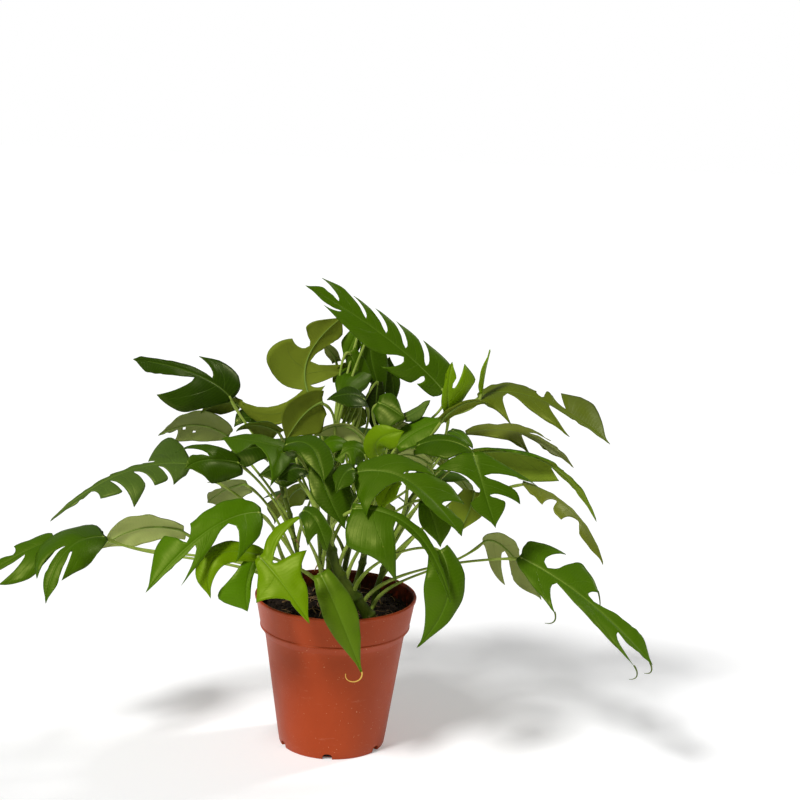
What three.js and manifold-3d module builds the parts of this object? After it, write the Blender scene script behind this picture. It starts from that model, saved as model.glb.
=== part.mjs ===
// A young split-leaf vine in a terracotta-coloured plastic nursery pot.
// Millimetres, +Z up, origin at the middle of the pot's foot.
import * as THREE from "three";
import { mergeVertices } from "three/addons/utils/BufferGeometryUtils.js";
import Module from "manifold-3d";

const wasm = await Module();
wasm.setup();
const { Manifold, Mesh } = wasm;

// Pot, from the rim's outer width
const RIM_D = 120;
const POT_H = 115;
const FOOT_R = RIM_D * 0.33;
const COLLAR_H = 24;
const COLLAR_FOOT_R = RIM_D * 0.46;
const COLLAR_CHAMFER = 5;
const WALL_TOP_R = 51.9;
const WALL = 1.6;
const RING_LINE = 0.5;
const LIP = 1;
const POT_SEGMENTS = 32;

// Drain openings
const DRAIN_R = 3.5;
const DRAIN_RING_R = 22;
const DRAIN_COUNT = 4;
const DRAIN_SIDES = 12;
const NOTCH_COUNT = 6;
const NOTCH_W = 7;
const NOTCH_H = 4.5;
const NOTCH_TURN = 28;

// Soil
const FIT_GAP = 0.3;
const SOIL_Z = POT_H - 14;
const SOIL_MOUND = 3;

// Blades
const BLADE = 0.8;
const WEB = 3.5;
const WEB_ANGLE = [48, 45];
const WEB_OPENING = 0.2;
const GAP = 5;
const LOBE_CURVE = 0.07;
const LOBE_PULL = { foot: 0.8, heel: 1.15, run: 0.62, carry: 0.1 };
const END_POWER = 1.7;
const REAR = { along: 0.55, out: 0.7 };
const HEART = { along: -0.08, out: 0.5 };
const FOLD = THREE.MathUtils.degToRad(-6);
const FIBRE_STEP = 28;
const LOBE_RINGS = 2;
const NARROW_HALF = 28;
const RIB_STEPS = 24;
const SCRAP = 1;

// Stems and leaf stalks
const STALK_R = 1.1;
const STALK_SIDES = 4;
const STALK_STEP = 32;
const STALK_SINK = 3;
const STALK_PULL = { lean: 0.5, rise: 0.45, arrive: 0.25, hang: 0.12 };
const FIRST_STALK = 0.3;
const LAST_STALK = 0.97;
const STEM_SIDES = 7;
const STEM_STEPS = 6;

// The way each vine runs from the soil, and how thick it is
const VINES = {
  left: { radius: 2.2, path: [[-24, 10, 86], [-26, 10, 130], [-34, 6, 170], [-46, 4, 205]] },
  low: { radius: 2.2, path: [[-20, -14, 86], [-22, -18, 115], [-28, -30, 135], [-36, -44, 152]] },
  front: { radius: 2.2, path: [[-6, -30, 86], [-7, -34, 125], [-10, -44, 160], [-14, -50, 195]] },
  rightfront: { radius: 5.2, path: [[38, -24, 86], [30, -30, 112], [0, -26, 128], [-6, -32, 168]] },
  right: { radius: 2.6, path: [[26, 4, 86], [30, 4, 130], [42, 2, 170], [62, 4, 205]] },
  upper: { radius: 3, path: [[12, 20, 86], [16, 18, 140], [30, 12, 195], [50, 8, 240]] },
  crown: { radius: 3, path: [[-6, 14, 86], [-6, 14, 140], [-8, 16, 190], [-6, 20, 235]] },
  back: { radius: 2.6, path: [[2, 38, 86], [4, 40, 120], [8, 44, 150], [10, 48, 180]] },
};

// Every leaf: where its rib starts, bends and ends, which way its upper face looks and how
// far each half droops in degrees, then its lobes from base to tip on either side. A lobe is
// [share of the rib where it ends, tip along, tip out, shoulder along, shoulder out, slot].
// The last lobe of a side gives the widest place of the leaf's pointed end.
// Places were read off a photo of the plant as pixels and worked out in whole millimetres.
// Depths, hidden parts and the whole back vine are estimates.
const LEAVES = {
  left: [
    {
      base: [-69, 20, 191], mid: [-85, 30, 184], tip: [-101, 40, 170],
      face: [0, 0.9, 0.5], sag: [20, 20],
      left: [[0.5, 26, 15, 13, 10, 3], [1, 35, 6]],
      right: [[1, 37, 15]],
    },
    {
      base: [-110, 5, 208], mid: [-158, -10, 203], tip: [-206, -30, 171],
      face: [0, -0.25, 1], sag: [60, 0],
      left: [
        [0.2, 15, 23, 3, 11, 3],
        [0.36, 31, 22, 17, 17, 3],
        [0.52, 54, 33, 36, 19, 3],
        [0.66, 74, 14, 55, 19, 3],
        [1, 89, 4],
      ],
      right: [[0.22, 30, 5, 9, 39, 4], [0.52, 59, 2, 34, 6, 3], [1, 79, 3]],
    },
    {
      base: [-22, 6, 213], mid: [-41, 0, 212], tip: [-59, -6, 204],
      face: [0, -0.6, 0.8], sag: [20, 20],
      left: [[1, 26, 19]],
      right: [[1, 19, 8]],
    },
    {
      base: [-72, -8, 214], mid: [-95, -28, 220], tip: [-109, -38, 215],
      face: [0, -0.8, 0.6], sag: [30, 25],
      left: [[1, 29, 18]],
      right: [[0.5, 46, 16, 20, 15, 3], [1, 40, 6]],
    },
    {
      base: [-85, 35, 223], mid: [-112, 45, 229], tip: [-141, 55, 217],
      face: [-0.2, 0.8, 0.5], sag: [20, 25],
      left: [[1, 18, 18]],
      right: [[0.7, 57, 12, 21, 16, 1], [1, 58, 2]],
    },
    {
      base: [-52, 6, 223], mid: [-68, 2, 222], tip: [-85, -2, 215],
      face: [0, -0.5, 0.9], sag: [20, 20],
      left: [[1, 22, 16]],
      right: [[1, 16, 8]],
    },
    {
      base: [-60, 28, 231], mid: [-69, 24, 241], tip: [-80, 20, 234],
      face: [0, -0.6, 0.8], sag: [20, 20],
      left: [[1, 5, 8]],
      right: [[1, 16, 10]],
    },
    {
      base: [-45, 12, 233], mid: [-62, 2, 241], tip: [-76, -6, 237],
      face: [0, 0.6, 0.8], sag: [20, 20],
      left: [[1, 26, 11]],
      right: [[1, 2, 19]],
    },
    {
      base: [-77, 36, 248], mid: [-92, 34, 249], tip: [-106, 30, 241],
      face: [0, 0.8, 0.6], sag: [20, 20],
      left: [[1, 16, 9]],
      right: [[1, 16, 12]],
    },
    {
      base: [-82, 20, 255], mid: [-107, 8, 275], tip: [-150, -10, 288],
      face: [-0.1, -0.75, 0.65], sag: [20, 20],
      left: [[0.4, 64, 25, 33, 32, 4], [1, 73, 9]],
      right: [[0.24, 34, 17, 5, 20, 3], [1, 77, 3]],
    },
  ],
  low: [
    {
      base: [-116, 20, 153], mid: [-152, 30, 150], tip: [-182, 25, 133],
      face: [0, 0.9, 0.4], sag: [25, 10],
      left: [[1, 36, 16, 2, 6]],
      right: [[1, 43, 14]],
    },
    {
      base: [-170, -15, 158], mid: [-205, -35, 158], tip: [-249, -55, 135],
      face: [-0.1, -0.45, 0.9], sag: [30, 20],
      left: [[0.3, 37, 15, 18, 14, 5], [0.62, 88, 14, 62, 23, 5], [1, 89, 2]],
      right: [[0.36, 28, 4, 10, 2, 3], [0.7, 65, 10, 36, 9, 3], [1, 80, 7]],
    },
    {
      base: [-166, -30, 161], mid: [-189, -60, 158], tip: [-199, -80, 126],
      face: [-0.2, -0.6, 0.7], sag: [30, 20],
      left: [[0.42, 61, 8, 31, 21, 5], [1, 63, 6]],
      right: [[0.4, 63, 12, -5, 61, 3], [1, 60, 6]],
    },
    {
      base: [-49, -78, 166], mid: [-80, -90, 168], tip: [-82, -100, 141],
      face: [-0.2, -0.7, 0.7], sag: [30, 20],
      left: [[1, 34, 9]],
      right: [[1, 44, 10]],
    },
    {
      base: [-53, -80, 166], mid: [-58, -90, 151], tip: [-57, -95, 131],
      face: [0, -0.9, 0.4], sag: [10, 10],
      left: [[1, 29, 2]],
      right: [[1, 29, 20, 18, 8]],
    },
    {
      base: [-51, -70, 195], mid: [-86, -90, 186], tip: [-125, -110, 147],
      face: [0, -0.75, 0.65], sag: [25, 20],
      left: [[0.25, 39, 30, 4, 18, 12], [0.52, 82, 16, 52, 13, 6], [1, 78, 2]],
      right: [[0.55, 48, 12, 12, 15, 3], [1, 65, 20]],
    },
  ],
  front: [
    {
      base: [-9, -66, 151], mid: [5, -78, 126], tip: [23, -78, 82],
      face: [0, -0.95, 0.3], sag: [15, 15],
      left: [[1, 31, 13]],
      right: [[1, 32, 11]],
    },
    {
      base: [-50, -92, 170], mid: [-30, -108, 153], tip: [-13, -115, 131],
      face: [0, -0.9, 0.4], sag: [10, 10],
      left: [[0.16, 0, 43, -10, 20, 5], [1, 32, 13, 17, 27]],
      right: [[0.62, 26, 22, 9, 9, 1], [1, 46, 2]],
    },
    {
      base: [-22, -84, 201], mid: [-12, -100, 200], tip: [-3, -104, 179],
      face: [0, -0.8, 0.6], sag: [25, 25],
      left: [[1, 29, 7]],
      right: [[0.62, 36, 12, 22, 10, 1], [1, 41, 3]],
    },
    {
      base: [12, -80, 203], mid: [55, -90, 192], tip: [82, -95, 143],
      face: [0.1, -0.7, 0.7], sag: [25, 20],
      left: [[1, 49, 5]],
      right: [[0.3, 72, 32, -3, 31, 9], [1, 60, 2]],
    },
    {
      base: [-23, -40, 219], mid: [-32, -50, 221], tip: [-41, -58, 215],
      face: [0, -0.6, 0.8], sag: [20, 20],
      left: [[1, 20, 9]],
      right: [[1, 7, 8]],
    },
    {
      base: [-13, -56, 229], mid: [-5, -72, 210], tip: [8, -80, 188],
      face: [0.1, -0.8, 0.6], sag: [20, 20],
      left: [[1, 31, 18]],
      right: [[1, 21, 11]],
    },
    {
      base: [-30, -34, 230], mid: [-58, -48, 240], tip: [-81, -54, 243],
      face: [0, -0.5, 0.9], sag: [20, 10],
      left: [[0.55, 26, 40, 5, 9, 4], [1, 48, 15]],
      right: [[1, 31, 8]],
    },
    {
      base: [-29, -16, 230], mid: [-19, -24, 225], tip: [-14, -30, 211],
      face: [0, -0.7, 0.7], sag: [20, 20],
      left: [[1, 21, 7]],
      right: [[1, 18, 10]],
    },
    {
      base: [-38, -44, 237], mid: [-18, -62, 241], tip: [-8, -80, 220],
      face: [0, -0.6, 0.8], sag: [20, 20],
      left: [[1, 42, 11]],
      right: [[1, 34, 10]],
    },
  ],
  rightfront: [
    {
      base: [109, 42, 147], mid: [129, 48, 139], tip: [157, 48, 100],
      face: [0.1, 0.75, 0.6], sag: [20, 15],
      left: [[0.3, 50, 22, 24, 22, 8], [1, 51, 13]],
      right: [[0.5, 28, 9, 4, 17, 3], [1, 48, 5]],
    },
    {
      base: [132, -30, 158], mid: [181, -62, 136], tip: [224, -90, 102],
      face: [0.1, -0.65, 0.75], sag: [10, 15],
      left: [[0.17, 25, 23, -5, 18, 12], [0.5, 62, 11, 32, 25, 13], [1, 103, 9]],
      right: [[0.27, 51, 24, 16, 13, 8], [0.72, 119, 12, 83, 10, 8], [1, 113, 2]],
    },
    {
      base: [74, -76, 175], mid: [80, -86, 143], tip: [60, -86, 106],
      face: [0.2, -0.9, 0.4], sag: [20, 20],
      left: [[1, 23, 12]],
      right: [[1, 28, 18]],
    },
    {
      base: [63, -34, 199], mid: [69, -40, 186], tip: [75, -42, 166],
      face: [0, -0.9, 0.4], sag: [20, 20],
      left: [[1, 21, 12]],
      right: [[1, 14, 10]],
    },
    {
      base: [43, -40, 214], mid: [36, -46, 207], tip: [31, -50, 193],
      face: [0, -0.8, 0.6], sag: [20, 20],
      left: [[1, 13, 7]],
      right: [[1, 17, 7]],
    },
    {
      base: [13, -62, 224], mid: [51, -74, 222], tip: [88, -86, 188],
      face: [0, -0.6, 0.8], sag: [10, 30],
      left: [[0.34, 53, 15, 19, 18, 3], [0.7, 77, 16, 54, 17, 3], [1, 86, 7]],
      right: [[0.36, 18, 38, 2, 19, 1], [1, 63, 7]],
    },
    {
      base: [13, -66, 227], mid: [6, -74, 226], tip: [1, -85, 215],
      face: [-0.1, -0.7, 0.8], sag: [20, 20],
      left: [[1, 16, 9]],
      right: [[1, 8, 10]],
    },
  ],
  right: [
    {
      base: [99, 0, 197], mid: [95, -4, 182], tip: [88, -8, 167],
      face: [0, 0.9, 0.3], sag: [15, 15],
      left: [[1, 19, 16]],
      right: [[1, 9, 12]],
    },
    {
      base: [136, 28, 198], mid: [174, 20, 179], tip: [198, 10, 142],
      face: [0.3, -0.3, 1], sag: [20, 20],
      left: [[1, 36, 2]],
      right: [[0.3, 21, 17, 10, 9, 3], [0.55, 41, 17, 29, 13, 3], [1, 59, 11]],
    },
    {
      base: [97, 30, 219], mid: [153, 20, 216], tip: [191, 10, 175],
      face: [0, 0.7, 0.7], sag: [30, 30],
      left: [[0.52, 74, 8, 41, 25, 3], [1, 90, 3]],
      right: [[0.62, 71, 2, 33, 12, 3], [1, 82, 4]],
    },
    {
      base: [65, -20, 222], mid: [51, -24, 229], tip: [38, -28, 227],
      face: [0, 0.8, 0.6], sag: [20, 20],
      left: [[1, 18, 7]],
      right: [[1, 9, 11]],
    },
    {
      base: [93, 60, 227], mid: [138, 60, 228], tip: [177, 60, 203],
      face: [0, -0.2, 1], sag: [10, 30],
      left: [[0.5, 68, 12, 30, 14, 2], [1, 78, 6]],
      right: [[0.45, 52, 21, 30, 13, 3], [1, 68, 9]],
    },
    {
      base: [55, -22, 235], mid: [76, -32, 242], tip: [96, -42, 236],
      face: [0, -0.5, 0.9], sag: [20, 20],
      left: [[1, 18, 10]],
      right: [[1, 31, 17]],
    },
    {
      base: [95, -44, 237], mid: [102, -58, 217], tip: [112, -66, 189],
      face: [0.1, -0.85, 0.5], sag: [15, 15],
      left: [[0.3, 37, 38, 10, 17, 4], [0.55, 46, 22, 32, 21, 3], [1, 41, 12]],
      right: [[0.45, 8, 30, 1, 16, 8], [1, 34, 12]],
    },
    {
      base: [80, 20, 238], mid: [89, 14, 235], tip: [97, 10, 227],
      face: [0, -0.2, 1], sag: [20, 20],
      left: [[1, 8, 8]],
      right: [[1, 13, 8]],
    },
    {
      base: [77, -20, 260], mid: [76, -25, 280], tip: [78, -20, 297],
      face: [0.1, -0.95, 0.2], sag: [20, 20],
      left: [[1, 8, 5]],
      right: [[0.45, 40, 9, 27, 23, 7], [1, 27, 5]],
    },
  ],
  upper: [
    {
      base: [29, -30, 227], mid: [28, -38, 242], tip: [46, -42, 250],
      face: [0, -0.9, 0.4], sag: [20, 20],
      left: [[1, 19, 10]],
      right: [[1, 29, 11]],
    },
    {
      base: [40, -14, 232], mid: [57, -8, 244], tip: [78, -4, 252],
      face: [0, -0.5, 0.8], sag: [20, 20],
      left: [[1, 23, 11]],
      right: [[1, 20, 11]],
    },
    {
      base: [52, 6, 239], mid: [42, 8, 242], tip: [31, 10, 238],
      face: [0, 0.7, 0.7], sag: [20, 20],
      left: [[1, 9, 10]],
      right: [[1, 15, 14]],
    },
    {
      base: [45, -2, 251], mid: [55, 2, 256], tip: [64, 6, 263],
      face: [0, -0.6, 0.8], sag: [20, 20],
      left: [[1, 12, 3]],
      right: [[1, 9, 7]],
    },
    {
      base: [72, -22, 255], mid: [89, -25, 269], tip: [105, -25, 268],
      face: [0, 0.6, 0.8], sag: [30, 30],
      left: [[1, 24, 7]],
      right: [[1, 25, 5]],
    },
    {
      base: [26, -4, 262], mid: [35, -8, 259], tip: [46, -14, 253],
      face: [0, -0.8, 0.5], sag: [20, 20],
      left: [[1, 5, 11]],
      right: [[1, 18, 16]],
    },
    {
      base: [99, 20, 264], mid: [141, 10, 267], tip: [195, -10, 239],
      face: [0, -0.3, 1], sag: [10, 40],
      left: [[0.42, 42, 10, 10, 15, 4], [0.6, 54, 9, 47, 12, 3], [1, 74, 30, 56, 20]],
      right: [[0.2, 36, 34, 8, 16, 8], [0.5, 83, 19, 49, 17, 8], [1, 81, 2]],
    },
    {
      base: [74, 10, 269], mid: [30, 0, 309], tip: [-28, -10, 346],
      face: [-0.1, -0.85, 0.5], sag: [15, 15],
      left: [
        [0.14, 20, 11, 2, 9, 4],
        [0.3, 50, 19, 22, 14, 7],
        [0.74, 112, 6, 62, 15, 3],
        [1, 108, 4],
      ],
      right: [
        [0.17, 36, 17, 3, 17, 5],
        [0.32, 60, 15, 36, 15, 5],
        [0.46, 78, 13, 58, 13, 5],
        [0.6, 96, 12, 78, 11, 4],
        [0.78, 122, 11, 100, 13, 4],
        [1, 118, 5],
      ],
    },
    {
      base: [102, 12, 269], mid: [103, 10, 283], tip: [106, 6, 302],
      face: [0.9, -0.3, 0.2], sag: [40, 40],
      left: [[1, 16, 8]],
      right: [[1, 16, 2]],
    },
  ],
  crown: [
    {
      base: [-28, 30, 188], mid: [-37, 40, 179], tip: [-43, 48, 165],
      face: [0, 0.9, 0.5], sag: [20, 20],
      left: [[1, 12, 6]],
      right: [[1, 24, 12]],
    },
    {
      base: [19, -6, 221], mid: [9, -10, 229], tip: [-4, -14, 220],
      face: [0, -0.6, 0.8], sag: [20, 20],
      left: [[0.6, 28, 15, -3, 9, 1], [1, 28, 7]],
      right: [[1, 14, 8]],
    },
    {
      base: [6, 0, 228], mid: [-5, -8, 233], tip: [-14, -14, 229],
      face: [0, -0.5, 0.9], sag: [20, 20],
      left: [[1, 22, 10]],
      right: [[1, 10, 8]],
    },
    {
      base: [18, 8, 229], mid: [0, 8, 241], tip: [-21, 8, 231],
      face: [0, 0.75, 0.65], sag: [20, 20],
      left: [[1, 27, 3]],
      right: [[1, 24, 15]],
    },
    {
      base: [0, 44, 237], mid: [8, 48, 243], tip: [17, 52, 233],
      face: [0.2, 0.8, 0.6], sag: [20, 20],
      left: [[1, 29, 11]],
      right: [[1, 10, 12]],
    },
    {
      base: [-22, 20, 255], mid: [-28, 38, 284], tip: [-3, 50, 315],
      face: [-0.1, 0.95, 0.3], sag: [15, 15],
      left: [[0.16, 7, 14, 1, 7, 1], [0.42, 72, 42, 15, 22, 11], [1, 68, 12]],
      right: [[0.14, 17, 54, 2, 37, 2], [0.55, 43, 17, 28, 32, 6], [1, 53, 14]],
    },
    {
      base: [17, 14, 259], mid: [5, 6, 265], tip: [-11, -2, 262],
      face: [0, -0.5, 0.9], sag: [20, 20],
      left: [[1, 20, 14]],
      right: [[1, 11, 11]],
    },
    {
      base: [-14, 0, 260], mid: [-27, -8, 252], tip: [-39, -18, 234],
      face: [-0.2, 0.9, 0.3], sag: [25, 25],
      left: [[1, 25, 17]],
      right: [[1, 16, 20]],
    },
    {
      base: [11, 26, 260], mid: [3, 22, 265], tip: [-4, 18, 259],
      face: [0, -0.6, 0.8], sag: [20, 20],
      left: [[1, 20, 8]],
      right: [[1, -4, 41]],
    },
    {
      base: [25, 42, 268], mid: [24, 38, 248], tip: [24, 32, 228],
      face: [0.2, -0.9, 0.3], sag: [15, 15],
      left: [[1, 19, 7]],
      right: [[1, 20, 8]],
    },
    {
      base: [7, 52, 276], mid: [-1, 50, 273], tip: [-9, 46, 265],
      face: [0.1, 0.9, 0.4], sag: [20, 20],
      left: [[1, 8, 8]],
      right: [[1, 13, 12]],
    },
    {
      base: [-7, 62, 278], mid: [-12, 60, 287], tip: [-18, 58, 293],
      face: [0, 0.9, 0.4], sag: [20, 20],
      left: [[1, 9, 5]],
      right: [[1, 10, 5]],
    },
    {
      base: [30, 58, 282], mid: [36, 56, 265], tip: [37, 52, 247],
      face: [0.3, -0.9, 0.2], sag: [15, 15],
      left: [[1, 19, 6]],
      right: [[1, 19, 9]],
    },
    {
      base: [3, 42, 290], mid: [9, 42, 276], tip: [14, 40, 261],
      face: [0.2, -0.9, 0.3], sag: [15, 15],
      left: [[1, 20, 10]],
      right: [[1, 17, 7]],
    },
    {
      base: [18, 50, 301], mid: [21, 47, 277], tip: [32, 42, 253],
      face: [0.3, -0.9, 0.2], sag: [15, 15],
      left: [[1, 21, 13]],
      right: [[1, 18, 9]],
    },
    {
      base: [8, 56, 304], mid: [4, 54, 293], tip: [-2, 52, 281],
      face: [0, -0.8, 0.5], sag: [20, 20],
      left: [[1, 13, 7]],
      right: [[1, 12, 8]],
    },
  ],
  back: [
    {
      base: [18, 56, 170], mid: [26, 84, 168], tip: [30, 108, 132],
      face: [0, 0.6, 0.8], sag: [30, 30],
      left: [[0.32, 30, 26, 6, 22, 5], [1, 46, 16]],
      right: [[0.4, 36, 26, 6, 22, 5], [1, 48, 14]],
    },
    {
      base: [-22, 50, 172], mid: [-40, 74, 172], tip: [-54, 98, 138],
      face: [-0.2, 0.5, 0.8], sag: [30, 30],
      left: [[0.4, 36, 24, 6, 20, 5], [1, 48, 14]],
      right: [[1, 28, 22]],
    },
    {
      base: [58, 50, 192], mid: [84, 72, 192], tip: [104, 94, 162],
      face: [0.3, 0.3, 0.9], sag: [30, 30],
      left: [[1, 28, 20]],
      right: [[0.4, 34, 22, 6, 20, 5], [1, 44, 14]],
    },
    {
      base: [-30, 52, 205], mid: [-50, 80, 212], tip: [-62, 112, 185],
      face: [-0.2, 0.4, 0.9], sag: [30, 30],
      left: [[0.3, 30, 28, 6, 22, 5], [0.6, 56, 24, 32, 26, 5], [1, 62, 12]],
      right: [[0.3, 28, 26, 6, 20, 5], [0.62, 54, 22, 32, 24, 5], [1, 62, 12]],
    },
    {
      base: [34, 58, 208], mid: [58, 84, 214], tip: [80, 112, 184],
      face: [0.2, 0.4, 0.9], sag: [30, 30],
      left: [[0.3, 30, 26, 6, 22, 5], [0.62, 58, 22, 34, 24, 5], [1, 64, 12]],
      right: [[0.36, 36, 28, 6, 24, 5], [1, 56, 16]],
    },
    {
      base: [2, 60, 214], mid: [8, 92, 220], tip: [10, 128, 192],
      face: [0, 0.4, 0.9], sag: [30, 30],
      left: [[0.34, 36, 28, 6, 24, 5], [1, 54, 18]],
      right: [[0.3, 32, 28, 6, 24, 5], [0.62, 62, 22, 38, 26, 5], [1, 66, 12]],
    },
  ],
};

const vec = (p) => new THREE.Vector3(...p);

// Bodies between three.js and the solid kernel

function solid(geometry) {
  const bare = geometry.clone();
  bare.deleteAttribute("normal");
  bare.deleteAttribute("uv");
  const welded = mergeVertices(bare, 1e-4);
  return new Manifold(
    new Mesh({
      numProp: 3,
      vertProperties: new Float32Array(welded.getAttribute("position").array),
      triVerts: new Uint32Array(welded.getIndex().array),
    }),
  );
}

function toGeometry(body) {
  const mesh = body.getMesh();
  const geometry = new THREE.BufferGeometry();
  geometry.setAttribute("position", new THREE.BufferAttribute(mesh.vertProperties, 3));
  geometry.setIndex(new THREE.BufferAttribute(mesh.triVerts, 1));
  geometry.computeVertexNormals();
  return geometry;
}

function turned(points, segments) {
  const lathe = new THREE.LatheGeometry(
    points.map(([r, z]) => new THREE.Vector2(r, z)),
    segments,
  );
  lathe.rotateX(Math.PI / 2);
  return solid(lathe);
}

function tube(curve, radius, sides, steps) {
  const rim = [];
  for (let i = 0; i < sides; i += 1) {
    const a = (2 * Math.PI * i) / sides;
    rim.push(new THREE.Vector2(radius * Math.cos(a), radius * Math.sin(a)));
  }
  const shape = new THREE.Shape(rim);
  const options = { steps, bevelEnabled: false, extrudePath: curve };
  return solid(new THREE.ExtrudeGeometry(shape, options));
}

// The rib of a leaf

class Rib {
  constructor(leaf) {
    const base = vec(leaf.base);
    const tip = vec(leaf.tip);
    const bend = vec(leaf.mid).multiplyScalar(2).sub(base.clone().add(tip).multiplyScalar(0.5));
    const curve = new THREE.QuadraticBezierCurve3(base, bend, tip);
    this.stops = [];
    let along = 0;
    for (let i = 0; i <= RIB_STEPS; i += 1) {
      const point = curve.getPoint(i / RIB_STEPS);
      const heading = curve.getTangent(i / RIB_STEPS);
      if (i > 0) along += point.distanceTo(this.stops[i - 1].point);
      const up = vec(leaf.face);
      up.addScaledVector(heading, -up.dot(heading)).normalize();
      this.stops.push({ along, point, heading, up });
    }
    this.length = along;
  }

  // The place and directions at a distance along the rib, carried on straight past its ends
  at(along) {
    let i = 1;
    while (i < this.stops.length - 1 && this.stops[i].along < along) i += 1;
    const a = this.stops[i - 1];
    const b = this.stops[i];
    const share = (along - a.along) / (b.along - a.along);
    const mix = Math.min(1, Math.max(0, share));
    const point = a.point.clone().addScaledVector(b.point.clone().sub(a.point), share);
    const heading = a.heading.clone().lerp(b.heading, mix).normalize();
    const up = a.up.clone().lerp(b.up, mix);
    up.addScaledVector(heading, -up.dot(heading)).normalize();
    return { point, heading, up };
  }
}

// The flat outline of a leaf, in millimetres along the rib and out from it

function webEdge(share, length) {
  const out = WEB * Math.min(1, (1 - share) * 4);
  const [far, near] = WEB_ANGLE;
  const angle = THREE.MathUtils.degToRad(far + near * Math.exp(-share / WEB_OPENING));
  return [share * length + out * Math.cos(angle), out * Math.sin(angle)];
}

function lobeEdge(u, start, tip, shoulder) {
  const edge = [];
  for (let i = 0; i < 2; i += 1) {
    const rise = shoulder[i] - start[i];
    const run = tip[i] - shoulder[i];
    const a = start[i] + LOBE_PULL.foot * rise;
    const b = start[i] + LOBE_PULL.heel * rise;
    const c = shoulder[i] + LOBE_PULL.run * run + LOBE_PULL.carry * rise;
    const v = 1 - u;
    edge.push(v * v * v * a + 3 * v * v * u * b + 3 * v * u * u * c + u * u * u * tip[i]);
  }
  return edge;
}

function endEdge(u, start, widest, length, rear) {
  const [along, out] = widest;
  const turn = Math.min(0.8, Math.max(0.15, (along - start[0]) / (length - start[0])));
  if (u < turn) {
    const w = u / turn;
    return [
      rear[0] + (along - rear[0]) * w,
      rear[1] + (out - rear[1]) * Math.sin((Math.PI / 2) * w),
    ];
  }
  const w = (u - turn) / (1 - turn);
  return [along + (length - along) * w, out * (1 - w) ** END_POWER * (1 + END_POWER * w)];
}

// level 0 is the rib, 1 the edge of the web, 2 the margin
function flatPoint(lobes, k, share, level, length) {
  const from = k > 0 ? lobes[k - 1][0] : 0;
  const [to, along, out, rearAlong, rearOut, gap = GAP] = lobes[k];
  const [webX, webY] = webEdge(share, length);
  if (level <= 1) return [share * length + (webX - share * length) * level, webY * level];
  const last = k === lobes.length - 1;
  const u = (share - from) / (to - from);
  const start = k > 0 ? webEdge(from, length) : [0, 0];
  let edge;
  if (last) {
    let rear = [
      start[0] + REAR.along * (along - start[0]),
      start[1] + REAR.out * (out - start[1]),
    ];
    if (k === 0) rear = [HEART.along * out, HEART.out * out];
    if (rearOut !== undefined) rear = [rearAlong, rearOut];
    edge = endEdge(u, start, [along, out], length, rear);
  } else {
    edge = lobeEdge(u, start, [along, out], [rearAlong, rearOut]);
  }
  const r = level - 1;
  const dx = edge[0] - webX;
  const dy = Math.max(edge[1], webY + 0.4) - webY;
  const bow = LOBE_CURVE * 4 * r * (1 - r);
  const slot = Math.sin(Math.PI * Math.min(0.5, r / 0.5)) * (1 - 0.35 * r);
  let x = webX + dx * r - dy * bow;
  const y = webY + dy * r + dx * bow;
  if (!last) x -= 0.5 * gap * slot * u ** 3 * (1 - r ** 4);
  if (k > 0) x += 0.5 * (lobes[k - 1][5] ?? GAP) * slot * (1 - u) ** 3;
  return [x, Math.max(y, 0)];
}

// A flat point carried onto the drooping half of the leaf
function onLeaf(rib, side, x, y, droop, reach) {
  const { point, heading, up } = rib.at(x);
  const out = heading.clone().cross(up).multiplyScalar(side);
  const k = THREE.MathUtils.degToRad(droop) / reach;
  const turn = FOLD + k * y;
  let across = y * Math.cos(FOLD);
  let down = y * Math.sin(FOLD);
  if (Math.abs(k) > 1e-6) {
    across = (Math.sin(turn) - Math.sin(FOLD)) / k;
    down = (Math.cos(FOLD) - Math.cos(turn)) / k;
  }
  const place = point.addScaledVector(out, across).addScaledVector(up, -down);
  if (y < 1e-9) return { place, normal: up };
  const normal = up.clone().multiplyScalar(Math.cos(turn)).addScaledVector(out, Math.sin(turn));
  return { place, normal };
}

// Shares of the rib where fibres leave it, alike for both halves
function stations(leaf, length) {
  const ends = new Set([0]);
  for (const lobe of [...leaf.left, ...leaf.right]) ends.add(lobe[0]);
  const sorted = [...ends].sort((a, b) => a - b);
  const shares = [];
  for (let i = 1; i < sorted.length; i += 1) {
    const span = sorted[i] - sorted[i - 1];
    let pieces = Math.max(1, Math.round((span * length) / FIBRE_STEP));
    if (i === sorted.length - 1) pieces = Math.max(3, pieces);
    for (let j = 0; j < pieces; j += 1) shares.push(sorted[i - 1] + (span * j) / pieces);
  }
  return [...shares, 1];
}

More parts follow.
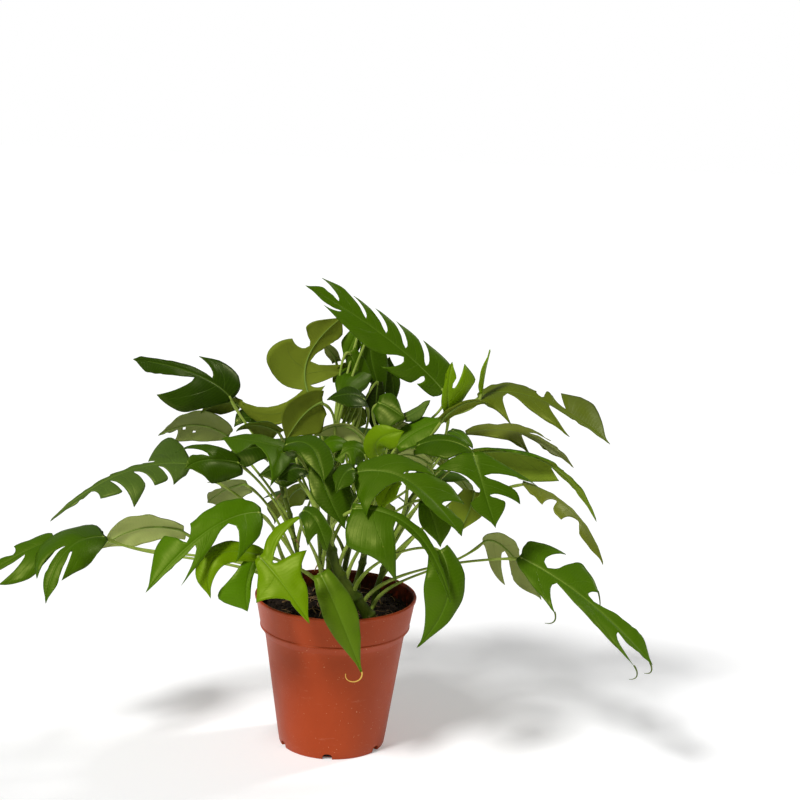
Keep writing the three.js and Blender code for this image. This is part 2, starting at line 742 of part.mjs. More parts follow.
function blade(leaf) {
  const rib = new Rib(leaf);
  const shares = stations(leaf, rib.length);
  const points = [];
  const faces = [];
  const add = ({ place, normal }) => points.push({ place, normal }) - 1;
  const ribPoints = shares.map((share) => {
    const { point, up } = rib.at(share * rib.length);
    return add({ place: point, normal: up });
  });
  for (const side of [-1, 1]) {
    const lobes = side < 0 ? leaf.left : leaf.right;
    const droop = leaf.sag[side < 0 ? 0 : 1];
    const reach = Math.max(...lobes.map((lobe) => lobe[2]));
    const rings = reach < NARROW_HALF ? 1 : LOBE_RINGS;
    const levels = [1];
    for (let j = 1; j <= rings; j += 1) levels.push(1 + j / rings);
    const column = (i, k, shared) => {
      const fibre = levels.map((level, j) => {
        if (shared && j === 0) return shared[1];
        const [x, y] = flatPoint(lobes, k, shares[i], level, rib.length);
        return add(onLeaf(rib, side, x, y, droop, reach));
      });
      return [ribPoints[i], ...fibre];
    };
    let k = 0;
    let before = null;
    shares.forEach((share, i) => {
      const atTip = i === shares.length - 1;
      const now = atTip ? Array(levels.length + 1).fill(ribPoints[i]) : column(i, k, null);
      for (let j = 0; before && j < levels.length; j += 1) {
        const quad = [before[j], before[j + 1], now[j + 1], now[j]];
        if (side < 0) quad.reverse();
        faces.push([quad[0], quad[1], quad[2]], [quad[0], quad[2], quad[3]]);
      }
      before = now;
      if (share === lobes[k][0] && k < lobes.length - 1) {
        k += 1;
        before = column(i, k, now);
      }
    });
  }
  return shell(points, faces.filter((f) => new Set(f).size === 3));
}

// Gives a sheet its thickness: two faces and a wall round its edge
function shell(points, faces) {
  const count = points.length;
  const positions = [];
  for (const half of [0.5, -0.5]) {
    for (const { place, normal } of points) {
      positions.push(...place.clone().addScaledVector(normal, half * BLADE).toArray());
    }
  }
  const index = [];
  const edges = new Set();
  for (const [a, b, c] of faces) {
    index.push(a, b, c, c + count, b + count, a + count);
    for (const [p, q] of [[a, b], [b, c], [c, a]]) edges.add(p * count + q);
  }
  for (const edge of edges) {
    const p = Math.floor(edge / count);
    const q = edge % count;
    if (!edges.has(q * count + p)) index.push(q, p, p + count, q, p + count, q + count);
  }
  const geometry = new THREE.BufferGeometry();
  geometry.setAttribute("position", new THREE.Float32BufferAttribute(positions, 3));
  geometry.setIndex(index);
  return solid(geometry);
}

// Stems and stalks

function stemCurve(vine) {
  return new THREE.CubicBezierCurve3(...vine.path.map(vec));
}

function stalk(leaf, stem, share) {
  const start = stem.getPoint(share);
  const rib = new Rib(leaf);
  const { point, heading } = rib.at(0);
  const far = start.distanceTo(point);
  const leave = stem.getTangent(share).lerp(point.clone().sub(start).normalize(), STALK_PULL.lean);
  const rise = start.clone().addScaledVector(leave, far * STALK_PULL.rise);
  const arrive = point.clone().addScaledVector(heading, -far * STALK_PULL.arrive);
  arrive.z -= far * STALK_PULL.hang;
  const end = point.clone().addScaledVector(heading, STALK_SINK);
  const curve = new THREE.CubicBezierCurve3(start, rise, arrive, end);
  const steps = Math.max(2, Math.round(far / STALK_STEP));
  return tube(curve, STALK_R, STALK_SIDES, steps);
}

function vineBody(name) {
  const vine = VINES[name];
  const stem = stemCurve(vine);
  const leaves = LEAVES[name];
  const pieces = [tube(stem, vine.radius, STEM_SIDES, STEM_STEPS)];
  leaves.forEach((leaf, i) => {
    const share = FIRST_STALK + ((LAST_STALK - FIRST_STALK) * i) / (leaves.length - 1);
    pieces.push(blade(leaf), stalk(leaf, stem, share));
  });
  return filled(Manifold.union(pieces));
}

// Fills the hollows that crossing leaves seal off, and drops loose scraps
function filled(body) {
  return Manifold.compose(body.decompose().filter((piece) => piece.volume() > SCRAP));
}

// Pot and soil

function potBody() {
  const collarZ = POT_H - COLLAR_H;
  const wallZ = collarZ - COLLAR_CHAMFER;
  const rimR = RIM_D / 2;
  const slope = (WALL_TOP_R - FOOT_R) / wallZ;
  const profile = [
    [0, 0],
    [FOOT_R, 0],
    [WALL_TOP_R, wallZ],
    [COLLAR_FOOT_R, collarZ],
    [COLLAR_FOOT_R + RING_LINE, collarZ + RING_LINE],
    [rimR - LIP, POT_H - 3 * LIP],
    [rimR, POT_H - 2 * LIP],
    [rimR, POT_H - LIP / 2],
    [rimR - LIP / 2, POT_H],
    [rimR - WALL - LIP / 2, POT_H],
    [rimR - WALL - LIP, POT_H - LIP / 2],
    [COLLAR_FOOT_R - WALL, collarZ],
    [WALL_TOP_R - WALL, wallZ],
    [FOOT_R - WALL + slope * WALL, WALL],
    [0, WALL],
  ];
  let pot = turned(profile, POT_SEGMENTS);
  for (let i = 0; i < DRAIN_COUNT; i += 1) {
    const drain = new THREE.CylinderGeometry(DRAIN_R, DRAIN_R, 4 * WALL, DRAIN_SIDES);
    drain.rotateX(Math.PI / 2);
    drain.translate(DRAIN_RING_R, 0, 0);
    drain.rotateZ((2 * Math.PI * i) / DRAIN_COUNT);
    pot = pot.subtract(solid(drain));
  }
  for (let i = 0; i < NOTCH_COUNT; i += 1) {
    const notch = new THREE.BoxGeometry(6 * WALL, NOTCH_W, 2 * NOTCH_H);
    notch.translate(FOOT_R, 0, 0);
    notch.rotateZ(THREE.MathUtils.degToRad(NOTCH_TURN) + (2 * Math.PI * i) / NOTCH_COUNT);
    pot = pot.subtract(solid(notch));
  }
  return pot;
}

function soilBody() {
  const wallZ = POT_H - COLLAR_H - COLLAR_CHAMFER;
  const collarZ = POT_H - COLLAR_H;
  const slope = (WALL_TOP_R - FOOT_R) / wallZ;
  const bottomZ = WALL + FIT_GAP;
  const inset = WALL + 2 * FIT_GAP;
  const flare = (RIM_D / 2 - LIP - COLLAR_FOOT_R) / COLLAR_H;
  const topR = COLLAR_FOOT_R - inset + flare * (SOIL_Z - collarZ);
  let soil = turned(
    [
      [0, bottomZ],
      [FOOT_R - inset + slope * bottomZ, bottomZ],
      [WALL_TOP_R - inset, wallZ],
      [COLLAR_FOOT_R - inset, collarZ],
      [topR, SOIL_Z],
      [topR * 0.8, SOIL_Z + SOIL_MOUND * 0.6],
      [topR * 0.45, SOIL_Z + SOIL_MOUND],
      [0, SOIL_Z + SOIL_MOUND],
    ],
    POT_SEGMENTS,
  );
  for (const vine of Object.values(VINES)) {
    soil = soil.subtract(stemHole(vine));
  }
  return soil;
}

// A plain hole that follows the stem and ends just below it
function stemHole(vine) {
  const stem = stemCurve(vine);
  const start = stem.getPoint(0).addScaledVector(stem.getTangent(0), -1);
  const curve = new THREE.CubicBezierCurve3(start, ...vine.path.slice(1).map(vec));
  return tube(curve, vine.radius + 2 * FIT_GAP, STEM_SIDES, STEM_STEPS);
}

// Materials

const LEAF_GREEN = new THREE.MeshStandardMaterial({ color: 0x4f7d1f, roughness: 0.45, metalness: 0 });
const TERRACOTTA = new THREE.MeshStandardMaterial({ color: 0xa8482a, roughness: 0.5, metalness: 0 });
const EARTH = new THREE.MeshStandardMaterial({ color: 0x1f1712, roughness: 0.95, metalness: 0 });

const group = new THREE.Group();

function addNode(name, body, material) {
  const mesh = new THREE.Mesh(toGeometry(body), material);
  mesh.name = name;
  group.add(mesh);
}

addNode("pot", potBody(), TERRACOTTA);
addNode("soil", soilBody(), EARTH);
for (const name of Object.keys(VINES)) {
  addNode(`vine_${name}`, vineBody(name), LEAF_GREEN);
}

export default group;
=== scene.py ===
# A young split-leaf vine with many cut leaves, in a terracotta-coloured plastic nursery pot.
# Places are in millimetres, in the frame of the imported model, and become metres in a mesh.
import math
import random
from collections import namedtuple

import bmesh
import bpy
from mathutils import Matrix, Vector, noise


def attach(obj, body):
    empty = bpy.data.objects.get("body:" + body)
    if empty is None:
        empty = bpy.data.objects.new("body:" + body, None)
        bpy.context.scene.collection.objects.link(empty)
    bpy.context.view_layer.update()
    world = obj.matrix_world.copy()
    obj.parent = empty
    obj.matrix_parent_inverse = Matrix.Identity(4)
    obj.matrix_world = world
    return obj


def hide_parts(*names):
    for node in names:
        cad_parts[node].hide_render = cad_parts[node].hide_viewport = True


MM = 0.001
SEED = 11

# Pot, from the rim's outer width
RIM_D = 120
POT_H = 115
FOOT_R = RIM_D * 0.33
FOOT_ROUND = 1.2
COLLAR_H = 24
COLLAR_FOOT_R = RIM_D * 0.46
COLLAR_CHAMFER = 5
WALL_TOP_R = 51.9
WALL = 1.6
RING_LINE = 0.5
RING_LINE_TOP = 1.5
LIP = 1.0
LIP_ROUND = 1.2
DRAIN_R = 3.5
DRAIN_RING_R = 22
DRAIN_COUNT = 4
DRAIN_CUT = 4
NOTCH_COUNT = 6
NOTCH_W = 7
NOTCH_H = 4.5
NOTCH_ARCH = 0.45
NOTCH_REACH = 5
NOTCH_BELOW = 3
NOTCH_TURN = 28
POT_SEGMENTS = 144
DRAIN_SEGMENTS = 32
SHARP_ANGLE = 35

# Soil, with lumps as (height, fineness)
SOIL_Z = POT_H - 14
SOIL_MOUND = 3
SOIL_R = 54
CRUST = 1.3
CRUST_OVERLAP = 1.2
CRUST_RINGS = 46
CRUST_SEGMENTS = 150
LUMPS = {"broad": (1.5, 0.09), "small": (0.8, 0.3)}
CRUMBS = 900
CRUMB_SIZE = {"least": 0.5, "more": 1.9, "sink": 0.2, "lump": 0.45, "lump_scale": 1.7}
CRUMB_STRETCH = (0.6, 1.3)

# Dry roots over the soil, and a tuft of them at the foot of the thick stem
FIBRES = 46
FIBRE_STEP = 1.4
FIBRE_STEPS = (8, 15)
FIBRE_LIFT = 0.7
FIBRE_ARCH = (0.2, 2.2)
FIBRE_BEND = 0.25
FIBRE_R = (0.22, 0.5)
TUFT = (31, -34)
TUFT_FIBRES = 34
TUFT_SPREAD = ((-1.1, 0.7), (-1, 0.3), (0.6, 1.7))
TUFT_REACH = (4, 8)

# Leaves
BLADE = 0.55
WEB = 3.5
WEB_ANGLE = (48, 45)
WEB_OPENING = 0.2
WEB_TAPER = 0.25
GAP = 5
SLOT_MOUTH = 0.5
SLOT_TAPER = 0.35
LOBE_CURVE = 0.07
LOBE_PULL = {"foot": 0.8, "heel": 1.15, "run": 0.62, "carry": 0.1}
LEAST_OUT = 0.4
END_POWER = 1.7
END_TURN = (0.15, 0.8)
REAR = (0.55, 0.7)
HEART = (-0.08, 0.5)
FOLD = math.radians(-6)
STATION = 2.4
LEAST_STATIONS = 4
END_STATIONS = 8
INNER_LEVELS = 3
OUTER_LEVELS = 7
LOBE_DROOP = 2.2
DROOP_RANGE = (0.2, 1.3)
DROOP_FULL = 20
LOBE_TWIST = 2.0
TWIST_RANGE = (0.3, 1.6)
WAVE = 0.45
WAVE_LENGTH = 17
GROOVE = 0.35
GROOVE_WIDTH = 0.9
VEIN_DEPTH = 0.8
VEIN_WIDTH = 1.3
VEIN_AIM = 0.36
SWELL = 1.6
SWELL_SCALE = 0.055
SWELL_START = 7
FINE_SWELL = {"share": 0.35, "scale": 2.6}
SHADE_RANGE = (0.93, 1.13)
EDGE_SHADE = 1.1

# Stalks and ribs
STALK_R = 1.0
STALK_THIN = 0.95
STALK_STEP = 2.5
LEAST_STALK_STEPS = 14
STALK_SINK = 3
STALK_PULL = {"lean": 0.5, "rise": 0.45, "arrive": 0.25, "hang": 0.12}
SHEATH = {"swell": 0.75, "reach": 0.4, "power": 0.8}
KNEE = {"swell": 0.35, "from_leaf": 9, "width": 5}
RIB_STEPS = 26
RIB_REACH = 0.985
RIB_PROUD = 0.35
RIB_R = {"tip": 0.18, "more": 0.72, "power": 1.2}

# Stems
FIRST_STALK = 0.3
LAST_STALK = 0.97
STEM_STEP = 1.1
STEM_THINS = 0.3
STEM_END = 0.4
NODE_STEP = 19
NODE_RING = {"swell": 0.22, "width": 1.3}
NODE_BULGE = {"swell": 0.1, "width": 5}
NODE_WAIST = 0.9
NODE_LEAN = 0.5
NODE_LEAN_BACK = -0.6
LEAN_START = 20
ROOT_RADII = [0.75, 0.7, 0.6, 0.5, 0.25]
ROOT_REACH = (3, 7)
ROOT_SLOPE = -0.5
ROOT_SAG = -0.25

# Kinds of tube: the place of each one's material in its piece's list, and how many sides
TUBE_KINDS = {
    "stalk": (0, 10),
    "stem": (1, 16),
    "root": (2, 7),
    "rib": (3, 8),
    "curl": (1, 8),
    "tendril": (0, 8),
    "fibre": (0, 6),
}

# How stalks, stems, root stubs and ribs look: two colours, and the least roughness
STALK_LOOKS = {
    "stalk": ((116, 140, 40), (146, 162, 74), 0.42),
    "stem": ((44, 66, 6), (84, 100, 26), 0.42),
    "root_stub": ((118, 92, 56), (146, 118, 78), 0.75),
    "rib": ((96, 122, 38), (112, 136, 52), 0.5),
}
STALK_SPECK = (88, 74, 34)

# Leaf colours, upper face then under face: partly the leaves' own greens, partly painted light and
# shade
# The darker tones paint shade on leaves inside the plant; lime and pale paint light on some leaves
# that lie in shade
TONES = {
    "fresh": ((76, 116, 0), (122, 144, 40)),
    "bright": ((104, 138, 0), (132, 154, 50)),
    "leafy": ((86, 116, 14), (122, 140, 50)),
    "mid": ((66, 100, 2), (112, 130, 36)),
    "shade": ((54, 84, 2), (104, 120, 34)),
    "dark": ((42, 68, 4), (96, 114, 30)),
    # a near-black green, painted shade on a hanging leaf inside the crown
    "deep_shade": ((22, 38, 4), (56, 70, 20)),
    "lime": ((122, 156, 10), (156, 174, 76)),
    "pale": ((108, 124, 40), (148, 160, 92)),
    "grey": ((80, 106, 38), (128, 140, 74)),
    "olive": ((92, 106, 22), (110, 124, 34)),
    "sage": ((112, 122, 38), (144, 154, 76)),
    "chalk": ((120, 134, 60), (172, 184, 108)),
}

# What differs between a leaf's two faces: the linear colour of rib and veins and how strong
# each of them is, the range of roughness, the gloss, and how far the lines stand out or in
LEAF_FACES = {
    "upper": {
        "line": (0.2, 0.36, 0.03, 1),
        "rib": 0.2,
        "vein": 0.13,
        "rough": (0.36, 0.48),
        "gloss": 0.32,
        "relief": -1.0,
    },
    "under": {
        "line": (0.09, 0.15, 0.02, 1),
        "rib": 0.35,
        "vein": 0.3,
        "rough": (0.52, 0.64),
        "gloss": 0.15,
        "relief": 0.8,
    },
}

# Lines on a leaf, in millimetres from their middle: as far as each is full, and where it ends
RIB_LINE = (0.35, 0.9)
VEIN_LINE = (0.12, 0.5)
FINE_VEIN = {"gap": 2.4, "wobble": 1.2, "share": 0.05}

# The levels between which a lobe's vein weakens, and its strength at each
VEIN_FADE = (1.2, 2.0, 1.0, 0.25)

# Millimetres of leaf to one unit of the maps that its material reads
MAP_SPAN = 100

# Linear tints that darken, warm and light up a leaf, and the tints of the gloss
MOTTLE = (0.7, 0.78, 0.62, 1)
PATCH = (1.25, 1.12, 0.9, 1)
GLOW = (1.5, 1.45, 0.55, 1)
GLOW_SHARE = 0.22
LEAF_GLOSS = (0.95, 1, 0.25, 1)
STALK_GLOSS = (0.95, 1, 0.5, 1)
POT_GLOSS = (1, 0.72, 0.5, 1)

# Colours of the pot and the soil, as seen in daylight, and the painted shade inside the collar
PLASTIC = ((154, 55, 18), (166, 63, 24))
PALE_SPECK = (226, 176, 134)
DARK_SPECK = (86, 40, 26)
SCUFF = (206, 140, 112)
# painted shade, with some clinging peat, on the inner face of the collar
PEAT_STAIN_AND_SHADE = (38, 20, 12)
PEAT = ((24, 18, 14), (46, 34, 25))
CRUMB_PEAT = ((24, 17, 12), (50, 38, 27))
PEAT_BITS = (140, 110, 72)
DRY_FIBRE = ((150, 118, 74), (96, 70, 42))
DRY_TENDRIL = ((222, 184, 84), (196, 150, 62))

# Camera, placed like the photo's
CAMERA_PLACE = (42, -1226, 524)
CAMERA_PITCH = 12
CAMERA_ROLL = 2.2
CAMERA_LENS = 77.85

# Lamps: the way to each, its spread in degrees and its strength
LAMPS = {
    "key": ((-0.85, -1.05, 1.5), 12, 2.9),
    "rear": ((1.3, 0.75, 1.25), 6, 0.9),
}

# The room's soft light, and the floor
ROOM_LIGHT = 0.2
FLOOR_GLOW = 0.17
FLOOR_REACH = 6000

# The way each vine runs from the soil, and how thick it is
VINES = {
    "left": (2.2, [(-24, 10, 86), (-26, 10, 130), (-34, 6, 170), (-46, 4, 205)]),
    "low": (2.2, [(-20, -14, 86), (-22, -18, 115), (-28, -30, 135), (-36, -44, 152)]),
    "front": (2.2, [(-6, -30, 86), (-7, -34, 125), (-10, -44, 160), (-14, -50, 195)]),
    "rightfront": (5.2, [(38, -24, 86), (30, -30, 112), (0, -26, 128), (-6, -32, 168)]),
    "right": (2.6, [(26, 4, 86), (30, 4, 130), (42, 2, 170), (62, 4, 205)]),
    "upper": (3.0, [(12, 20, 86), (16, 18, 140), (30, 12, 195), (50, 8, 240)]),
    "crown": (3.0, [(-6, 14, 86), (-6, 14, 140), (-8, 16, 190), (-6, 20, 235)]),
    "back": (2.6, [(2, 38, 86), (4, 40, 120), (8, 44, 150), (10, 48, 180)]),
}

# Thin curls that end some lobes, each as four points of a curve
CURLS = {
    "rightfront": [
        [(210.5, -94.4, 102.5), (214.5, -94.8, 97.0), (214.0, -94.8, 92.0), (207.5, -94.8, 92.5)],
        [(222.0, -90.2, 103.5), (224.6, -90.0, 98.5), (224.2, -90.0, 94.5), (218.5, -90.0, 95.5)],
        [(156.0, -70.3, 131.0), (158.5, -70.6, 124.0), (155.0, -70.6, 121.5), (149.5, -70.6, 122.5)],
        [(187.2, -55.0, 142.5), (189.5, -55.4, 136.0), (189.8, -55.4, 130.0), (188.8, -55.4, 126.0)],
    ],
}
CURL = {"steps": 12, "thick": 0.9, "loss": 0.7, "flat": 0.5}

# The thin dry thread on the longest hanging leaf, as four points of a curve
TENDRIL = [(22.7, -79, 84.3), (24.2, -79.5, 74.7), (9.8, -79.5, 74.7), (11.3, -79, 82.5)]
THREAD = {"steps": 30, "thick": 0.52, "loss": 0.25}

# Every leaf: its tone, where its rib starts, bends and ends, which way its upper face looks,
# its lobes from base to tip on the left and on the right, how many degrees each half droops
# where that isn't SAG, and any small holes as (share of the rib, level out from it, 0 to 2).
# A lobe is (share of the rib where it ends, tip along, tip out, shoulder along and out, slot).
# The last lobe of a side gives the widest place of the leaf's pointed end, and on a few leaves
# where its margin leaves the web.
# Places were read off a photo of the plant as pixels and worked out in whole millimetres.
# Depths, hidden parts and the whole back vine are estimates.
SAG = (20, 20)
Leaf = namedtuple("Leaf", "tone base mid tip face left right sag holes", defaults=[SAG, ()])
Lobe = namedtuple("Lobe", "end along out shoulder_along shoulder_out slot", defaults=[None, None, GAP])
LEAVES = {}
LEAVES["left"] = [
    Leaf("pale", (-69, 20, 191), (-85, 30, 184), (-101, 40, 170), (0, 0.9, 0.5),
         [(0.5, 26, 15, 13, 10, 3), (1, 35, 6)], [(1, 37, 15)]),
    Leaf("grey", (-110, 5, 208), (-158, -10, 203), (-206, -30, 171), (0, -0.25, 1),
         [(0.2, 15, 23, 3, 11, 3), (0.36, 31, 22, 17, 17, 3), (0.52, 54, 33, 36, 19, 3),
          (0.66, 74, 14, 55, 19, 3), (1, 89, 4)],
         [(0.22, 30, 5, 9, 39, 4), (0.52, 59, 2, 34, 6, 3), (1, 79, 3)], (60, 0)),
    Leaf("dark", (-22, 6, 213), (-41, 0, 212), (-59, -6, 204), (0, -0.6, 0.8),
         [(1, 26, 19)], [(1, 19, 8)]),
    Leaf("shade", (-72, -8, 214), (-95, -28, 220), (-109, -38, 215), (0, -0.8, 0.6),
         [(1, 29, 18)], [(0.5, 46, 16, 20, 15, 3), (1, 40, 6)], (30, 25)),
    Leaf("grey", (-85, 35, 223), (-112, 45, 229), (-141, 55, 217), (-0.2, 0.8, 0.5),
         [(1, 18, 18)], [(0.7, 57, 12, 21, 16, 1), (1, 58, 2)], (20, 25),
         [(0.61, 0.73), (0.61, 1.05), (0.45, 1.4)]),
    Leaf("dark", (-52, 6, 223), (-68, 2, 222), (-85, -2, 215), (0, -0.5, 0.9),
         [(1, 22, 16)], [(1, 16, 8)]),
    Leaf("dark", (-60, 28, 231), (-69, 24, 241), (-80, 20, 234), (0, -0.6, 0.8),
         [(1, 5, 8)], [(1, 16, 10)]),
    Leaf("shade", (-45, 12, 233), (-62, 2, 241), (-76, -6, 237), (0, 0.6, 0.8),
         [(1, 26, 11)], [(1, 2, 19)]),
    Leaf("shade", (-77, 36, 248), (-92, 34, 249), (-106, 30, 241), (0, 0.8, 0.6),
         [(1, 16, 9)], [(1, 16, 12)]),
    Leaf("dark", (-82, 20, 255), (-107, 8, 275), (-150, -10, 288), (-0.1, -0.75, 0.65),
         [(0.4, 64, 25, 33, 32, 4), (1, 73, 9)], [(0.24, 34, 17, 5, 20, 3), (1, 77, 3)]),
]
LEAVES["low"] = [
    Leaf("chalk", (-116, 20, 153), (-152, 30, 150), (-182, 25, 133), (0, 0.9, 0.4),
         [(1, 36, 16, 2, 6)], [(1, 43, 14)], (25, 10)),
    Leaf("mid", (-170, -15, 158), (-205, -35, 158), (-249, -55, 135), (-0.1, -0.45, 0.9),
         [(0.3, 37, 15, 18, 14, 5), (0.62, 88, 14, 62, 23, 5), (1, 89, 2)],
         [(0.36, 28, 4, 10, 2, 3), (0.7, 65, 10, 36, 9, 3), (1, 80, 7)], (30, 20)),
    Leaf("mid", (-166, -30, 161), (-189, -60, 158), (-199, -80, 126), (-0.2, -0.6, 0.7),
         [(0.42, 61, 8, 31, 21, 5), (1, 63, 6)], [(0.4, 63, 12, -5, 61, 3), (1, 60, 6)], (30, 20)),
    Leaf("bright", (-49, -78, 166), (-80, -90, 168), (-82, -100, 141), (-0.2, -0.7, 0.7),
         [(1, 34, 9)], [(1, 44, 10)], (30, 20)),
    Leaf("fresh", (-53, -80, 166), (-58, -90, 151), (-57, -95, 131), (0, -0.9, 0.4),
         [(1, 29, 2)], [(1, 29, 20, 18, 8)], (10, 10)),
    Leaf("fresh", (-51, -70, 195), (-86, -90, 186), (-125, -110, 147), (0, -0.75, 0.65),
         [(0.25, 39, 30, 4, 18, 12), (0.52, 82, 16, 52, 13, 6), (1, 78, 2)],
         [(0.55, 48, 12, 12, 15, 3), (1, 65, 20)], (25, 20)),
]
LEAVES["front"] = [
    Leaf("leafy", (-9, -66, 151), (5, -78, 126), (23, -78, 82), (0, -0.95, 0.3),
         [(1, 31, 13)], [(1, 32, 11)], (15, 15)),
    Leaf("bright", (-50, -92, 170), (-30, -108, 153), (-13, -115, 131), (0, -0.9, 0.4),
         [(0.16, 0, 43, -10, 20, 5), (1, 32, 13, 17, 27)], [(0.62, 26, 22, 9, 9, 1), (1, 46, 2)],
         (10, 10)),
    Leaf("shade", (-22, -84, 201), (-12, -100, 200), (-3, -104, 179), (0, -0.8, 0.6),
         [(1, 29, 7)], [(0.62, 36, 12, 22, 10, 1), (1, 41, 3)], (25, 25)),
    Leaf("mid", (12, -80, 203), (55, -90, 192), (82, -95, 143), (0.1, -0.7, 0.7),
         [(1, 49, 5)], [(0.3, 72, 32, -3, 31, 9), (1, 60, 2)], (25, 20)),
    Leaf("dark", (-23, -40, 219), (-32, -50, 221), (-41, -58, 215), (0, -0.6, 0.8),
         [(1, 20, 9)], [(1, 7, 8)]),
    Leaf("shade", (-13, -56, 229), (-5, -72, 210), (8, -80, 188), (0.1, -0.8, 0.6),
         [(1, 31, 18)], [(1, 21, 11)]),
    Leaf("mid", (-30, -34, 230), (-58, -48, 240), (-81, -54, 243), (0, -0.5, 0.9),
         [(0.55, 26, 40, 5, 9, 4), (1, 48, 15)], [(1, 31, 8)], (20, 10)),
    Leaf("shade", (-29, -16, 230), (-19, -24, 225), (-14, -30, 211), (0, -0.7, 0.7),
         [(1, 21, 7)], [(1, 18, 10)]),
    Leaf("shade", (-38, -44, 237), (-18, -62, 241), (-8, -80, 220), (0, -0.6, 0.8),
         [(1, 42, 11)], [(1, 34, 10)]),
]
LEAVES["rightfront"] = [
    Leaf("pale", (109, 42, 147), (129, 48, 139), (157, 48, 100), (0.1, 0.75, 0.6),
         [(0.3, 50, 22, 24, 22, 8), (1, 51, 13)], [(0.5, 28, 9, 4, 17, 3), (1, 48, 5)], (20, 15)),
    Leaf("mid", (132, -30, 158), (181, -62, 136), (224, -90, 102), (0.1, -0.65, 0.75),
         [(0.17, 25, 23, -5, 18, 12), (0.5, 62, 11, 32, 25, 13), (1, 103, 9)],
         [(0.27, 51, 24, 16, 13, 8), (0.72, 119, 12, 83, 10, 8), (1, 113, 2)], (10, 15)),
    Leaf("mid", (74, -76, 175), (80, -86, 143), (60, -86, 106), (0.2, -0.9, 0.4),
         [(1, 23, 12)], [(1, 28, 18)]),
    Leaf("mid", (63, -34, 199), (69, -40, 186), (75, -42, 166), (0, -0.9, 0.4),
         [(1, 21, 12)], [(1, 14, 10)]),
    Leaf("lime", (43, -40, 214), (36, -46, 207), (31, -50, 193), (0, -0.8, 0.6),
         [(1, 13, 7)], [(1, 17, 7)]),
    Leaf("mid", (13, -62, 224), (51, -74, 222), (88, -86, 188), (0, -0.6, 0.8),
         [(0.34, 53, 15, 19, 18, 3), (0.7, 77, 16, 54, 17, 3), (1, 86, 7)],
         [(0.36, 18, 38, 2, 19, 1), (1, 63, 7)], (10, 30)),
    Leaf("shade", (13, -66, 227), (6, -74, 226), (1, -85, 215), (-0.1, -0.7, 0.8),
         [(1, 16, 9)], [(1, 8, 10)]),
]
LEAVES["right"] = [
    Leaf("mid", (99, 0, 197), (95, -4, 182), (88, -8, 167), (0, 0.9, 0.3),
         [(1, 19, 16)], [(1, 9, 12)], (15, 15)),
    Leaf("sage", (136, 28, 198), (174, 20, 179), (198, 10, 142), (0.3, -0.3, 1),
         [(1, 36, 2)], [(0.3, 21, 17, 10, 9, 3), (0.55, 41, 17, 29, 13, 3), (1, 59, 11)]),
    Leaf("fresh", (97, 30, 219), (153, 20, 216), (191, 10, 175), (0, 0.7, 0.7),
         [(0.52, 74, 8, 41, 25, 3), (1, 90, 3)], [(0.62, 71, 2, 33, 12, 3), (1, 82, 4)], (30, 30)),
    Leaf("chalk", (65, -20, 222), (51, -24, 229), (38, -28, 227), (0, 0.8, 0.6),
         [(1, 18, 7)], [(1, 9, 11)]),
    Leaf("sage", (93, 60, 227), (138, 60, 228), (177, 60, 203), (0, -0.2, 1),
         [(0.5, 68, 12, 30, 14, 2), (1, 78, 6)], [(0.45, 52, 21, 30, 13, 3), (1, 68, 9)], (10, 30)),
    Leaf("shade", (55, -22, 235), (76, -32, 242), (96, -42, 236), (0, -0.5, 0.9),
         [(1, 18, 10)], [(1, 31, 17)]),
    Leaf("mid", (95, -44, 237), (102, -58, 217), (112, -66, 189), (0.1, -0.85, 0.5),
         [(0.3, 37, 38, 10, 17, 4), (0.55, 46, 22, 32, 21, 3), (1, 41, 12)],
         [(0.45, 8, 30, 1, 16, 8), (1, 34, 12)], (15, 15)),
    Leaf("mid", (80, 20, 238), (89, 14, 235), (97, 10, 227), (0, -0.2, 1),
         [(1, 8, 8)], [(1, 13, 8)]),
    Leaf("bright", (77, -20, 260), (76, -25, 280), (78, -20, 297), (0.1, -0.95, 0.2),
         [(1, 8, 5)], [(0.45, 40, 9, 27, 23, 7), (1, 27, 5)]),
]
